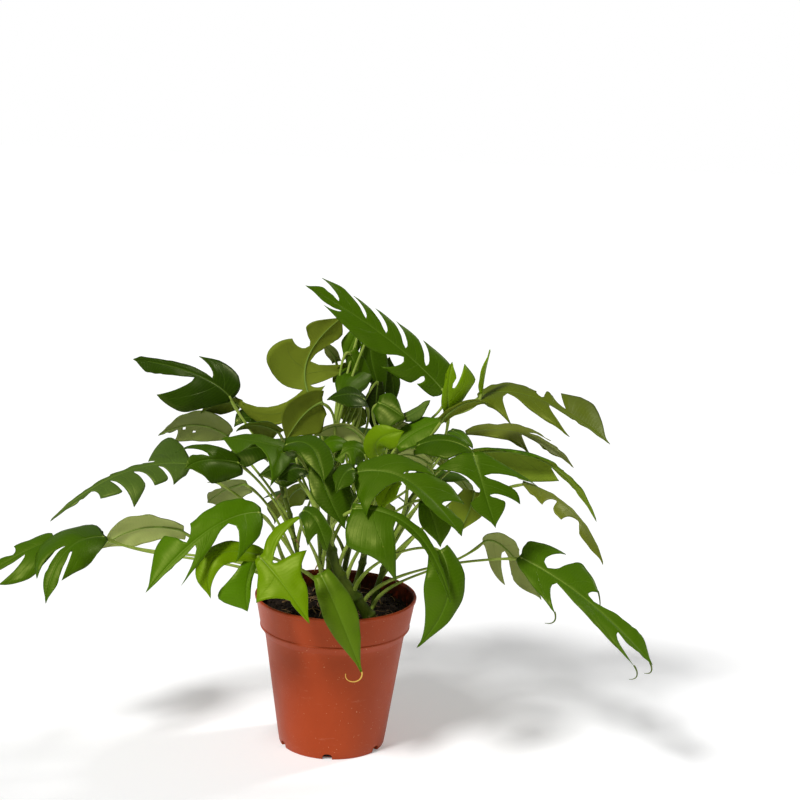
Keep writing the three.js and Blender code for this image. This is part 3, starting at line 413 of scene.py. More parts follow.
LEAVES["upper"] = [
    Leaf("bright", (29, -30, 227), (28, -38, 242), (46, -42, 250), (0, -0.9, 0.4),
         [(1, 19, 10)], [(1, 29, 11)]),
    Leaf("fresh", (40, -14, 232), (57, -8, 244), (78, -4, 252), (0, -0.5, 0.8),
         [(1, 23, 11)], [(1, 20, 11)]),
    Leaf("pale", (52, 6, 239), (42, 8, 242), (31, 10, 238), (0, 0.7, 0.7),
         [(1, 9, 10)], [(1, 15, 14)]),
    Leaf("grey", (45, -2, 251), (55, 2, 256), (64, 6, 263), (0, -0.6, 0.8),
         [(1, 12, 3)], [(1, 9, 7)]),
    Leaf("olive", (72, -22, 255), (89, -25, 269), (105, -25, 268), (0, 0.6, 0.8),
         [(1, 24, 7)], [(1, 25, 5)], (30, 30)),
    Leaf("shade", (26, -4, 262), (35, -8, 259), (46, -14, 253), (0, -0.8, 0.5),
         [(1, 5, 11)], [(1, 18, 16)]),
    Leaf("olive", (99, 20, 264), (141, 10, 267), (195, -10, 239), (0, -0.3, 1),
         [(0.42, 42, 10, 10, 15, 4), (0.6, 54, 9, 47, 12, 3), (1, 74, 30, 56, 20)],
         [(0.2, 36, 34, 8, 16, 8), (0.5, 83, 19, 49, 17, 8), (1, 81, 2)], (10, 40)),
    Leaf("mid", (74, 10, 269), (30, 0, 309), (-28, -10, 346), (-0.1, -0.85, 0.5),
         [(0.14, 20, 11, 2, 9, 4), (0.3, 50, 19, 22, 14, 7), (0.74, 112, 6, 62, 15, 3), (1, 108, 4)],
         [(0.17, 36, 17, 3, 17, 5), (0.32, 60, 15, 36, 15, 5), (0.46, 78, 13, 58, 13, 5),
          (0.6, 96, 12, 78, 11, 4), (0.78, 122, 11, 100, 13, 4), (1, 118, 5)], (15, 15)),
    Leaf("lime", (102, 12, 269), (103, 10, 283), (106, 6, 302), (0.9, -0.3, 0.2),
         [(1, 16, 8)], [(1, 16, 2)], (40, 40)),
]
LEAVES["crown"] = [
    Leaf("mid", (-28, 30, 188), (-37, 40, 179), (-43, 48, 165), (0, 0.9, 0.5),
         [(1, 12, 6)], [(1, 24, 12)]),
    Leaf("mid", (19, -6, 221), (9, -10, 229), (-4, -14, 220), (0, -0.6, 0.8),
         [(0.6, 28, 15, -3, 9, 1), (1, 28, 7)], [(1, 14, 8)]),
    Leaf("fresh", (6, 0, 228), (-5, -8, 233), (-14, -14, 229), (0, -0.5, 0.9),
         [(1, 22, 10)], [(1, 10, 8)]),
    Leaf("chalk", (18, 8, 229), (0, 8, 241), (-21, 8, 231), (0, 0.75, 0.65),
         [(1, 27, 3)], [(1, 24, 15)]),
    Leaf("dark", (0, 44, 237), (8, 48, 243), (17, 52, 233), (0.2, 0.8, 0.6),
         [(1, 29, 11)], [(1, 10, 12)]),
    Leaf("olive", (-22, 20, 255), (-28, 38, 284), (-3, 50, 315), (-0.1, 0.95, 0.3),
         [(0.16, 7, 14, 1, 7, 1), (0.42, 72, 42, 15, 22, 11), (1, 68, 12)],
         [(0.14, 17, 54, 2, 37, 2), (0.55, 43, 17, 28, 32, 6), (1, 53, 14)], (15, 15)),
    Leaf("dark", (17, 14, 259), (5, 6, 265), (-11, -2, 262), (0, -0.5, 0.9),
         [(1, 20, 14)], [(1, 11, 11)]),
    Leaf("olive", (-14, 0, 260), (-27, -8, 252), (-39, -18, 234), (-0.2, 0.9, 0.3),
         [(1, 25, 17)], [(1, 16, 20)], (25, 25)),
    Leaf("mid", (11, 26, 260), (3, 22, 265), (-4, 18, 259), (0, -0.6, 0.8),
         [(1, 20, 8)], [(1, -4, 41)]),
    Leaf("deep_shade", (25, 42, 268), (24, 38, 248), (24, 32, 228), (0.2, -0.9, 0.3),
         [(1, 19, 7)], [(1, 20, 8)], (15, 15)),
    Leaf("olive", (7, 52, 276), (-1, 50, 273), (-9, 46, 265), (0.1, 0.9, 0.4),
         [(1, 8, 8)], [(1, 13, 12)]),
    Leaf("grey", (-7, 62, 278), (-12, 60, 287), (-18, 58, 293), (0, 0.9, 0.4),
         [(1, 9, 5)], [(1, 10, 5)]),
    Leaf("dark", (30, 58, 282), (36, 56, 265), (37, 52, 247), (0.3, -0.9, 0.2),
         [(1, 19, 6)], [(1, 19, 9)], (15, 15)),
    Leaf("mid", (3, 42, 290), (9, 42, 276), (14, 40, 261), (0.2, -0.9, 0.3),
         [(1, 20, 10)], [(1, 17, 7)], (15, 15)),
    Leaf("shade", (18, 50, 301), (21, 47, 277), (32, 42, 253), (0.3, -0.9, 0.2),
         [(1, 21, 13)], [(1, 18, 9)], (15, 15)),
    Leaf("mid", (8, 56, 304), (4, 54, 293), (-2, 52, 281), (0, -0.8, 0.5),
         [(1, 13, 7)], [(1, 12, 8)]),
]
LEAVES["back"] = [
    Leaf("fresh", (18, 56, 170), (26, 84, 168), (30, 108, 132), (0, 0.6, 0.8),
         [(0.32, 30, 26, 6, 22, 5), (1, 46, 16)], [(0.4, 36, 26, 6, 22, 5), (1, 48, 14)], (30, 30)),
    Leaf("shade", (-22, 50, 172), (-40, 74, 172), (-54, 98, 138), (-0.2, 0.5, 0.8),
         [(0.4, 36, 24, 6, 20, 5), (1, 48, 14)], [(1, 28, 22)], (30, 30)),
    Leaf("mid", (58, 50, 192), (84, 72, 192), (104, 94, 162), (0.3, 0.3, 0.9),
         [(1, 28, 20)], [(0.4, 34, 22, 6, 20, 5), (1, 44, 14)], (30, 30)),
    Leaf("mid", (-30, 52, 205), (-50, 80, 212), (-62, 112, 185), (-0.2, 0.4, 0.9),
         [(0.3, 30, 28, 6, 22, 5), (0.6, 56, 24, 32, 26, 5), (1, 62, 12)],
         [(0.3, 28, 26, 6, 20, 5), (0.62, 54, 22, 32, 24, 5), (1, 62, 12)], (30, 30)),
    Leaf("mid", (34, 58, 208), (58, 84, 214), (80, 112, 184), (0.2, 0.4, 0.9),
         [(0.3, 30, 26, 6, 22, 5), (0.62, 58, 22, 34, 24, 5), (1, 64, 12)],
         [(0.36, 36, 28, 6, 24, 5), (1, 56, 16)], (30, 30)),
    Leaf("fresh", (2, 60, 214), (8, 92, 220), (10, 128, 192), (0, 0.4, 0.9),
         [(0.34, 36, 28, 6, 24, 5), (1, 54, 18)],
         [(0.3, 32, 28, 6, 24, 5), (0.62, 62, 22, 38, 26, 5), (1, 66, 12)], (30, 30)),
]

chance = random.Random(SEED)
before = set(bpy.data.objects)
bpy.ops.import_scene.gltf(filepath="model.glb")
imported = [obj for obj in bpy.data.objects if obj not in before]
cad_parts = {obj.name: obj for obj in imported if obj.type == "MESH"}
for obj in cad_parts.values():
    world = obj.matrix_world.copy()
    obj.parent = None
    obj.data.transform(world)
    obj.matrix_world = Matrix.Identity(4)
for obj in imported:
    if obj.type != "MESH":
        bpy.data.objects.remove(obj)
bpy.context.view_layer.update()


# Small helpers


def linear(rgb):
    """A colour seen on a screen, 0 to 255, as the linear colour a shader takes."""
    channels = []
    for value in rgb:
        value /= 255
        channels.append(value / 12.92 if value <= 0.04045 else ((value + 0.055) / 1.055) ** 2.4)
    return (*channels, 1.0)


def polar(radius, angle):
    return radius * math.cos(angle), radius * math.sin(angle)


def bell(distance, width):
    """A smooth swelling: 1 in the middle, and close to 0 at twice the width."""
    return math.exp(-((distance / width) ** 2))


def bezier(points, t):
    a, b, c, d = points
    s = 1 - t
    return a * s**3 + b * (3 * s * s * t) + c * (3 * s * t * t) + d * t**3


def bezier_heading(points, t):
    a, b, c, d = points
    s = 1 - t
    return ((b - a) * (s * s) + (c - b) * (2 * s * t) + (d - c) * (t * t)).normalized()


def curve(knots, steps):
    """Places spread along the curve of four points, both ends included."""
    path = [Vector(knot) for knot in knots]
    return [bezier(path, i / steps) for i in range(steps + 1)]


def taper(thick, loss, steps):
    """The radii of a tube that loses thickness evenly to its end."""
    return [thick - loss * i / steps for i in range(steps + 1)]


def new_piece(name, points, faces, materials):
    mesh = bpy.data.meshes.new(name)
    mesh.from_pydata([tuple(Vector(p) * MM) for p in points], [], faces)
    for material in materials:
        mesh.materials.append(material)
    mesh.shade_smooth()
    mesh.update()
    piece = bpy.data.objects.new(name, mesh)
    bpy.context.scene.collection.objects.link(piece)
    return piece


# Material helpers


class Nodes:
    """Short ways to add and join the nodes of one material."""

    def __init__(self, name):
        self.material = bpy.data.materials.new(name)
        self.material.use_nodes = True
        self.tree = self.material.node_tree
        self.shader = self.tree.nodes["Principled BSDF"]

    def fill(self, socket, value):
        """Gives a socket a plain value, or joins it to what another node puts out."""
        if isinstance(value, (int, float, tuple)):
            socket.default_value = value
        else:
            self.tree.links.new(value, socket)

    def add(self, kind, inputs, **settings):
        node = self.tree.nodes.new(kind)
        for key, value in settings.items():
            setattr(node, key, value)
        for key, value in inputs.items():
            self.fill(node.inputs[key], value)
        return node

    def set(self, **inputs):
        for key, value in inputs.items():
            self.fill(self.shader.inputs[key.replace("_", " ")], value)

    def math(self, operation, first, second=0.0):
        return self.add("ShaderNodeMath", {0: first, 1: second}, operation=operation).outputs[0]

    def times(self, first, second):
        return self.math("MULTIPLY", first, second)

    def plus(self, first, second):
        return self.math("ADD", first, second)

    def place(self):
        return self.add("ShaderNodeTexCoord", {}).outputs["Object"]

    def split(self, vector):
        return self.add("ShaderNodeSeparateXYZ", {0: vector}).outputs

    def split_map(self, title):
        return self.split(self.add("ShaderNodeUVMap", {}, uv_map=title).outputs["UV"])

    def noise(self, scale, detail=3.0, roughness=0.55, stretch=(1, 1, 1)):
        mapping = self.add("ShaderNodeMapping", {"Vector": self.place(), "Scale": stretch})
        inputs = {"Vector": mapping.outputs["Vector"], "Scale": scale, "Detail": detail}
        inputs["Roughness"] = roughness
        return self.add("ShaderNodeTexNoise", inputs).outputs["Fac"]

    def ramp(self, value, low, high, start=0.0, end=1.0):
        inputs = {"Value": value, "From Min": low, "From Max": high, "To Min": start, "To Max": end}
        return self.add("ShaderNodeMapRange", inputs, clamp=True).outputs["Result"]

    def mix(self, share, first, second, blend="MIX"):
        inputs = {0: share, 6: first, 7: second}
        return self.add("ShaderNodeMix", inputs, data_type="RGBA", blend_type=blend).outputs[2]

    def marked(self, colour, mask, share, mark):
        """The colour with a mark laid over it where the mask says, no stronger than the share."""
        return self.mix(self.times(mask, share), colour, linear(mark))

    def bump(self, height, distance, strength):
        inputs = {"Height": height, "Distance": distance, "Strength": strength}
        self.set(Normal=self.add("ShaderNodeBump", inputs).outputs["Normal"])


# Materials


def leaf_material(face):
    n = Nodes(f"leaf_{face}")
    look = LEAF_FACES[face]
    # Tint holds each leaf's tone, which is partly painted light and shade
    tint = n.add("ShaderNodeAttribute", {}, attribute_name="Tint").outputs["Color"]
    share, level, _ = n.split_map("Leaf")
    lobe_share, lobe_width, _ = n.split_map("Lobe")
    level = n.math("ABSOLUTE", level)

    # the rib, then one vein in each lobe from the rib to its tip, with distances in millimetres
    rib = n.ramp(n.times(level, WEB), *RIB_LINE, 1.0, 0.0)
    past_web = n.math("MAXIMUM", n.math("SUBTRACT", level, 1.0), 0.0)
    aim = n.plus(n.times(past_web, VEIN_AIM), 0.5)
    off = n.math("ABSOLUTE", n.math("SUBTRACT", lobe_share, aim))
    away = n.times(n.times(off, lobe_width), MAP_SPAN)
    has_vein = n.math("GREATER_THAN", lobe_width, 0.001)
    vein = n.times(n.ramp(away, *VEIN_LINE, 1.0, 0.0), has_vein)
    vein = n.times(vein, n.ramp(level, *VEIN_FADE))
    strength = n.math("MAXIMUM", n.times(rib, look["rib"]), n.times(vein, look["vein"]))

    # fine veins side by side, running out from the rib
    across = n.plus(share, n.times(n.noise(260, 2), FINE_VEIN["wobble"] / MAP_SPAN))
    fine = n.math("SINE", n.times(across, 2 * math.pi * MAP_SPAN / FINE_VEIN["gap"]))
    fine = n.ramp(fine, 0.55, 1.0)

    mottle = n.ramp(n.noise(55, 4), 0.3, 0.75)
    patch = n.ramp(n.noise(14, 2), 0.35, 0.7)
    colour = n.mix(n.times(mottle, 0.35), tint, MOTTLE, "MULTIPLY")
    colour = n.mix(n.times(patch, 0.3), colour, PATCH, "MULTIPLY")
    colour = n.mix(n.times(fine, FINE_VEIN["share"]), colour, look["line"])
    colour = n.mix(strength, colour, look["line"])

    # leaves with darker tints shine more; those tints are partly the leaves' own darker green, partly
    # painted shade
    depth = n.add("ShaderNodeSeparateColor", {0: tint}).outputs[1]
    rough = n.ramp(n.noise(90, 3), 0.3, 0.7, *look["rough"])
    rough = n.math("SUBTRACT", rough, n.ramp(depth, 0.05, 0.13, 0.1, 0.0))
    n.set(Base_Color=colour, Roughness=rough)
    n.set(Specular_IOR_Level=look["gloss"], Specular_Tint=LEAF_GLOSS)
    height = n.plus(n.times(fine, 0.2), n.times(n.noise(700, 2), 0.25))
    height = n.plus(height, n.times(n.math("MAXIMUM", rib, vein), look["relief"]))
    n.bump(height, 0.0003, 0.6)

    # light that comes through the blade
    through = n.mix(0.6, colour, GLOW, "MULTIPLY")
    glow = n.add("ShaderNodeBsdfTranslucent", {"Color": through})
    inputs = {0: GLOW_SHARE, 1: n.shader.outputs[0], 2: glow.outputs[0]}
    blend = n.add("ShaderNodeMixShader", inputs).outputs[0]
    n.fill(n.tree.nodes["Material Output"].inputs["Surface"], blend)
    return n.material


def stalk_material(name, base, other, roughness):
    n = Nodes(name)
    streak = n.ramp(n.noise(160, 4, 0.6, (1, 1, 0.25)), 0.3, 0.72)
    speck = n.ramp(n.noise(900, 2), 0.62, 0.72)
    colour = n.mix(streak, linear(base), linear(other))
    colour = n.marked(colour, speck, 0.35, STALK_SPECK)
    n.set(Base_Color=colour, Roughness=n.ramp(streak, 0, 1, roughness, roughness + 0.15))
    n.set(Specular_IOR_Level=0.28, Specular_Tint=STALK_GLOSS)
    n.bump(n.noise(500, 3, 0.6, (1, 1, 0.3)), 0.0004, 0.6)
    return n.material


def pot_material():
    n = Nodes("pot_plastic")
    clouds = n.ramp(n.noise(18, 3), 0.3, 0.7)
    pale = n.ramp(n.noise(750, 2), 0.71, 0.75)
    thick = n.ramp(n.noise(24, 3), 0.4, 0.65, 0.15, 0.9)
    dark = n.ramp(n.noise(800, 2, 0.5, (1.1, 0.9, 1.3)), 0.70, 0.76)
    scuffs = n.ramp(n.noise(60, 6, 0.7, (1, 1, 4)), 0.62, 0.74)
    colour = n.mix(clouds, *(linear(shade) for shade in PLASTIC))
    colour = n.marked(colour, pale, thick, PALE_SPECK)
    colour = n.marked(colour, dark, 0.5, DARK_SPECK)
    colour = n.marked(colour, scuffs, 0.22, SCUFF)
    # painted shade, with some clinging peat, darkens the inner face of the collar
    colour = n.marked(colour, *collar_stain_and_shade(n), PEAT_STAIN_AND_SHADE)
    rough = n.plus(n.ramp(n.noise(40, 4), 0.3, 0.7, 0.38, 0.5), n.times(scuffs, 0.15))
    n.set(Base_Color=colour, Roughness=rough)
    n.set(Specular_IOR_Level=0.3, Specular_Tint=POT_GLOSS)
    n.bump(n.plus(n.noise(1500, 2), n.times(n.noise(120, 3), 0.8)), 0.00025, 0.35)
    return n.material


def collar_stain_and_shade(n):
    """Where painted shade, with some clinging peat, darkens the inner face of the collar, and how
    strongly: most near the soil.
    """
    x, y, z = n.split(n.place())
    radius = n.math("SQRT", n.plus(n.times(x, x), n.times(y, y)))
    flare = (RIM_D / 2 - LIP - COLLAR_FOOT_R) / COLLAR_H
    foot = (COLLAR_FOOT_R - WALL / 2 - flare * (POT_H - COLLAR_H)) * MM
    inside = n.math("LESS_THAN", radius, n.plus(n.times(z, flare), foot))
    high = n.math("GREATER_THAN", z, (POT_H - COLLAR_H) * MM)
    lower = n.ramp(z, (SOIL_Z + 2) * MM, (POT_H - 1) * MM, 1.0, 0.7)
    patchy = n.ramp(n.noise(160, 5, 0.7), 0.2, 0.5)
    return n.times(inside, high), n.times(lower, patchy)


def soil_material(name, dark, light, strength):
    n = Nodes(name)
    lumps = n.ramp(n.noise(300, 6, 0.65), 0.35, 0.7)
    bits = n.ramp(n.noise(1100, 2), 0.64, 0.7)
    colour = n.mix(lumps, linear(dark), linear(light))
    n.set(Base_Color=n.marked(colour, bits, 0.5, PEAT_BITS))
    n.set(Roughness=0.92, Specular_IOR_Level=0.2)
    n.bump(n.noise(600, 6, 0.7), 0.0015, strength)
    return n.material


def fibre_material(name, light, dark):
    n = Nodes(name)
    streak = n.noise(700, 3)
    n.set(Base_Color=n.mix(streak, linear(light), linear(dark)), Roughness=0.85)
    n.bump(streak, 0.0003, 0.6)
    return n.material


# The rib of a leaf


class Rib:
    """A leaf's middle line, bent through three places, with the way its upper face looks."""

    STEPS = 48

    def __init__(self, leaf):
        base, mid, tip = Vector(leaf.base), Vector(leaf.mid), Vector(leaf.tip)
        bend = 2 * mid - (base + tip) / 2
        face = Vector(leaf.face)
        self.stops = []
        along = 0.0
        for i in range(self.STEPS + 1):
            t = i / self.STEPS
            point = base * (1 - t) ** 2 + bend * (2 * t * (1 - t)) + tip * t**2
            heading = ((bend - base) * (1 - t) + (tip - bend) * t).normalized()
            up = (face - heading * face.dot(heading)).normalized()
            if i:
                along += (point - self.stops[-1][1]).length
            self.stops.append((along, point, heading, up))
        self.length = along

    def at(self, along):
        """The place and directions at a distance along the rib, carried on past its ends."""
        i = 1
        while i < self.STEPS and self.stops[i][0] < along:
            i += 1
        a, b = self.stops[i - 1], self.stops[i]
        share = (along - a[0]) / (b[0] - a[0])
        mix = min(1.0, max(0.0, share))
        point = a[1] + (b[1] - a[1]) * share
        heading = a[2].lerp(b[2], mix).normalized()
        up = a[3].lerp(b[3], mix)
        up = (up - heading * up.dot(heading)).normalized()
        return point, heading, up


# The flat outline of a leaf, in millimetres along the rib and out from it


def web_edge(share, length):
    """The edge of the narrow web that runs beside the rib between the slots."""
    out = WEB * min(1.0, (1 - share) / WEB_TAPER)
    angle = math.radians(WEB_ANGLE[0] + WEB_ANGLE[1] * math.exp(-share / WEB_OPENING))
    return share * length + out * math.cos(angle), out * math.sin(angle)


def lobe_edge(u, start, lobe):
    """The margin of a lobe, from the slot before it over its shoulder to its tip."""
    shoulders = (lobe.shoulder_along, lobe.shoulder_out)
    tips = (lobe.along, lobe.out)
    edge = []
    for foot, shoulder, tip in zip(start, shoulders, tips):
        rise = shoulder - foot
        run = tip - shoulder
        a = foot + LOBE_PULL["foot"] * rise
        b = foot + LOBE_PULL["heel"] * rise
        c = shoulder + LOBE_PULL["run"] * run + LOBE_PULL["carry"] * rise
        v = 1 - u
        edge.append(v**3 * a + 3 * v * v * u * b + 3 * v * u * u * c + u**3 * tip)
    return edge


def end_edge(u, start, rear, lobe, length):
    """The margin of the pointed end, out to its widest place and then in to the tip."""
    least, most = END_TURN
    turn = min(most, max(least, (lobe.along - start[0]) / (length - start[0])))
    if u < turn:
        w = u / turn
        rise = math.sin(math.pi / 2 * w)
        return rear[0] + (lobe.along - rear[0]) * w, rear[1] + (lobe.out - rear[1]) * rise
    w = (u - turn) / (1 - turn)
    out = lobe.out * (1 - w) ** END_POWER * (1 + END_POWER * w)
    return lobe.along + (length - lobe.along) * w, out


def end_rear(start, lobe, only):
    """Where the margin of the pointed end leaves the web."""
    if lobe.shoulder_along is not None:
        return lobe.shoulder_along, lobe.shoulder_out
    if only:
        return HEART[0] * lobe.out, HEART[1] * lobe.out
    widest = (lobe.along, lobe.out)
    return tuple(a + share * (b - a) for a, b, share in zip(start, widest, REAR))


# The blades


def groove(level):
    """The groove along the rib, seen from above."""
    return -GROOVE * bell(level * WEB, GROOVE_WIDTH)


def swell(place):
    """Gentle hollows and rises that no blade of the plant is without, in millimetres."""
    broad = noise.noise(place * SWELL_SCALE)
    fine = noise.noise(place * SWELL_SCALE * FINE_SWELL["scale"])
    return SWELL * (broad + FINE_SWELL["share"] * fine)


def stations(leaf, length):
    """The shares of the rib at which a blade's columns stand, one at the end of each lobe."""
    ends = sorted({0.0} | {float(lobe[0]) for lobe in leaf.left + leaf.right})
    shares = []
    for a, b in zip(ends, ends[1:]):
        least = END_STATIONS if b == 1 else LEAST_STATIONS
        pieces = max(least, round((b - a) * length / STATION))
        shares += [a + (b - a) * i / pieces for i in range(pieces)]
    return shares + [1.0]


class Half:
    """One half of a blade. Level 0 is the rib, 1 the edge of the web, 2 the margin."""

    LEVELS = [(i + 1) / INNER_LEVELS for i in range(INNER_LEVELS)]
    LEVELS += [1 + (i + 1) / OUTER_LEVELS for i in range(OUTER_LEVELS)]

    def __init__(self, leaf, rib, side):
        self.rib = rib
        self.side = side
        self.lobes = [Lobe(*numbers) for numbers in (leaf.left if side < 0 else leaf.right)]
        droop = leaf.sag[0 if side < 0 else 1]
        self.bend = math.radians(droop) / max(lobe.out for lobe in self.lobes)
        self.sways = [self.sway(lobe) for lobe in self.lobes]

    def sway(self, lobe):
        """How much a lobe twists and hangs, and where its waves begin."""
        twist = LOBE_TWIST * chance.uniform(*TWIST_RANGE)
        hang = LOBE_DROOP * chance.uniform(*DROOP_RANGE) * min(1.0, lobe.out / DROOP_FULL)
        return twist, hang, chance.uniform(0, 2 * math.pi)

    def start(self, k):
        return self.lobes[k - 1].end if k else 0.0

    def width(self, k):
        return self.lobes[k].end - self.start(k)

    def last(self, k):
        return k == len(self.lobes) - 1

    def lobe_share(self, k, share):
        return (share - self.start(k)) / self.width(k)

    def margin(self, k, u):
        lobe = self.lobes[k]
        start = web_edge(self.start(k), self.rib.length) if k else (0.0, 0.0)
        if self.last(k):
            return end_edge(u, start, end_rear(start, lobe, k == 0), lobe, self.rib.length)
        return lobe_edge(u, start, lobe)

    def flat(self, k, share, level):
        """A place on the flat leaf, along the rib and out from it."""
        length = self.rib.length
        web_x, web_y = web_edge(share, length)
        if level <= 1:
            return share * length + (web_x - share * length) * level, web_y * level
        u = self.lobe_share(k, share)
        edge_x, edge_y = self.margin(k, u)
        r = level - 1
        dx = edge_x - web_x
        dy = max(edge_y, web_y + LEAST_OUT) - web_y
        bow = LOBE_CURVE * 4 * r * (1 - r)
        slot = math.sin(math.pi * min(0.5, r / SLOT_MOUTH)) * (1 - SLOT_TAPER * r)
        x = web_x + dx * r - dy * bow
        y = web_y + dy * r + dx * bow
        if not self.last(k):
            x -= 0.5 * self.lobes[k].slot * slot * u**3 * (1 - r**4)
        if k:
            x += 0.5 * self.lobes[k - 1].slot * slot * (1 - u) ** 3
        return x, max(y, 0.0)

    def drooped(self, x, y):
        """A flat place carried onto the drooping half, and the way its upper face looks."""
        point, heading, up = self.rib.at(x)
        out = heading.cross(up) * self.side
        turn = FOLD + self.bend * y
        if abs(self.bend) > 1e-6:
            across = (math.sin(turn) - math.sin(FOLD)) / self.bend
            down = (math.cos(FOLD) - math.cos(turn)) / self.bend
        else:
            across = y * math.cos(FOLD)
            down = y * math.sin(FOLD)
        place = point + out * across - up * down
        if y < 1e-9:
            return place, up
        return place, up * math.cos(turn) + out * math.sin(turn)

    def relief(self, k, share, level):
        """How far the face stands off its smooth form: grooves, lobes that hang, waves."""
        if level < 1:
            return groove(level)
        past = level - 1
        u = self.lobe_share(k, share)
        twist, hang, phase = self.sways[k]
        fade = 1 - u**4 if self.last(k) else 1.0
        height = groove(level)
        if not self.last(k):
            off = abs(u - 0.5 - VEIN_AIM * past) * (self.width(k) * self.rib.length)
            height -= VEIN_DEPTH * GROOVE * bell(off, VEIN_WIDTH)
            height += twist * (u - 0.5) * past * (1 - 0.5 * past)
        height -= hang * past**2 * fade
        turn = 2 * math.pi * (share * self.rib.length) / WAVE_LENGTH
        return height + WAVE * math.sin(turn + phase) * past**2 * fade

    def at(self, k, share, level):
        """A place of the half with all its relief, and the way its upper face looks."""
        x, y = self.flat(k, share, level)
        place, normal = self.drooped(x, y)
        lift = self.relief(k, share, level) + swell(place) * min(1.0, y / SWELL_START)
        return place + normal * lift, normal


class Sheet:
    """The middle sheet of one blade: its places, and patches that know where they lie."""

    def __init__(self, leaf):
        self.rib = Rib(leaf)
        self.shares = stations(leaf, self.rib.length)
        self.places = []
        self.patches = []
        for share in self.shares:
            point, _, up = self.rib.at(share * self.rib.length)
            self.places.append((point - up * GROOVE, up))
        for side in (-1, 1):
            self.add_half(Half(leaf, self.rib, side))

    def add_half(self, half):
        k = 0
        before = None
        for i, share in enumerate(self.shares):
            now = self.column(half, i, k)
            if before:
                self.add_patches(half, k, i, before, now)
            before = now
            if share == half.lobes[k].end and not half.last(k):
                k += 1
                before = self.column(half, i, k, now)

    def column(self, half, i, k, beside=None):
        """The places from the rib to the margin. Two lobes share a column as far as the web."""
        if i == len(self.shares) - 1:
            return [i] * (len(half.LEVELS) + 1)
        column = [i]
        for j, level in enumerate(half.LEVELS):
            if beside and level <= 1:
                column.append(beside[j + 1])
                continue
            column.append(len(self.places))
            self.places.append(half.at(k, self.shares[i], level))
        return column

    def add_patches(self, half, k, i, before, now):
        columns = []
        for column, share in ((before, self.shares[i - 1]), (now, self.shares[i])):
            levels = [half.side * level for level in (0.0, *half.LEVELS)]
            u = half.lobe_share(k, share)
            columns.append([(place, share, level, u) for place, level in zip(column, levels)])
        first, second = columns
        width = 0.0 if half.last(k) else half.width(k)
        for j in range(len(half.LEVELS)):
            patch = [first[j], first[j + 1], second[j + 1], second[j]]
            if half.side < 0:
                patch.reverse()
            self.patches.append((patch, width))


def pierced(holes, patch):
    """Whether a small hole of the blade falls in this patch of it."""
    shares = [corner[1] for corner in patch]
    levels = [corner[2] for corner in patch]
    return any(
        min(shares) <= share < max(shares) and min(levels) <= level < max(levels)
        for share, level in holes
    )


class Blades:
    """Gathers the blades of one vine into one mesh, with where each place lies on its leaf."""

    def __init__(self):
        self.points = []
        self.faces = []
        self.under = []
        self.marks = []
        self.tints = []

    def add(self, leaf):
        """Gives a leaf's sheet its two faces and its edge, and notes colours and places."""
        sheet = Sheet(leaf)
        length = sheet.rib.length
        shift = len(self.points)
        count = len(sheet.places)
        for half in (0.5, -0.5):
            self.points += [place + normal * (half * BLADE) for place, normal in sheet.places]
        shade = chance.uniform(*SHADE_RANGE)
        # each leaf's tone, partly painted light and shade, is given to its faces as their Tint
        upper, under = (linear(colour) for colour in TONES[leaf.tone])
        edges = {}
        for patch, width in sheet.patches:
            corners = [corner for i, corner in enumerate(patch) if corner[0] != patch[i - 1][0]]
            if len(corners) < 3 or pierced(leaf.holes, patch):
                continue
            ring = [shift + corner[0] for corner in corners]
            marks = [
                ((share * length / MAP_SPAN, level), (u, width * length / MAP_SPAN))
                for _, share, level, u in corners
            ]
            self.face(ring, marks, upper, shade, 0)
            self.face([count + i for i in reversed(ring)], marks[::-1], under, shade, 1)
            for i, mark in enumerate(marks):
                edges[(ring[i], ring[(i + 1) % len(ring)])] = mark
        for (a, b), mark in edges.items():
            if (b, a) not in edges:
                self.face([b, a, a + count, b + count], [mark] * 4, upper, shade * EDGE_SHADE, 0)

    def face(self, ring, marks, colour, shade, under):
        self.faces.append(ring)
        self.marks += marks
        self.tints += [(colour[0] * shade, colour[1] * shade, colour[2] * shade, 1.0)] * len(ring)
        self.under.append(under)

    def piece(self, name, materials):
        made = new_piece(name, self.points, self.faces, materials)
        mesh = made.data
        mesh.polygons.foreach_set("material_index", self.under)
        for i, title in enumerate(("Leaf", "Lobe")):
            layer = mesh.uv_layers.new(name=title)
            layer.data.foreach_set("uv", [number for mark in self.marks for number in mark[i]])
        tint = mesh.color_attributes.new("Tint", "FLOAT_COLOR", "CORNER")
        tint.data.foreach_set("color", [channel for tone in self.tints for channel in tone])
        mesh.update()
        return made


# Tubes: stems, stalks, ribs, fibres


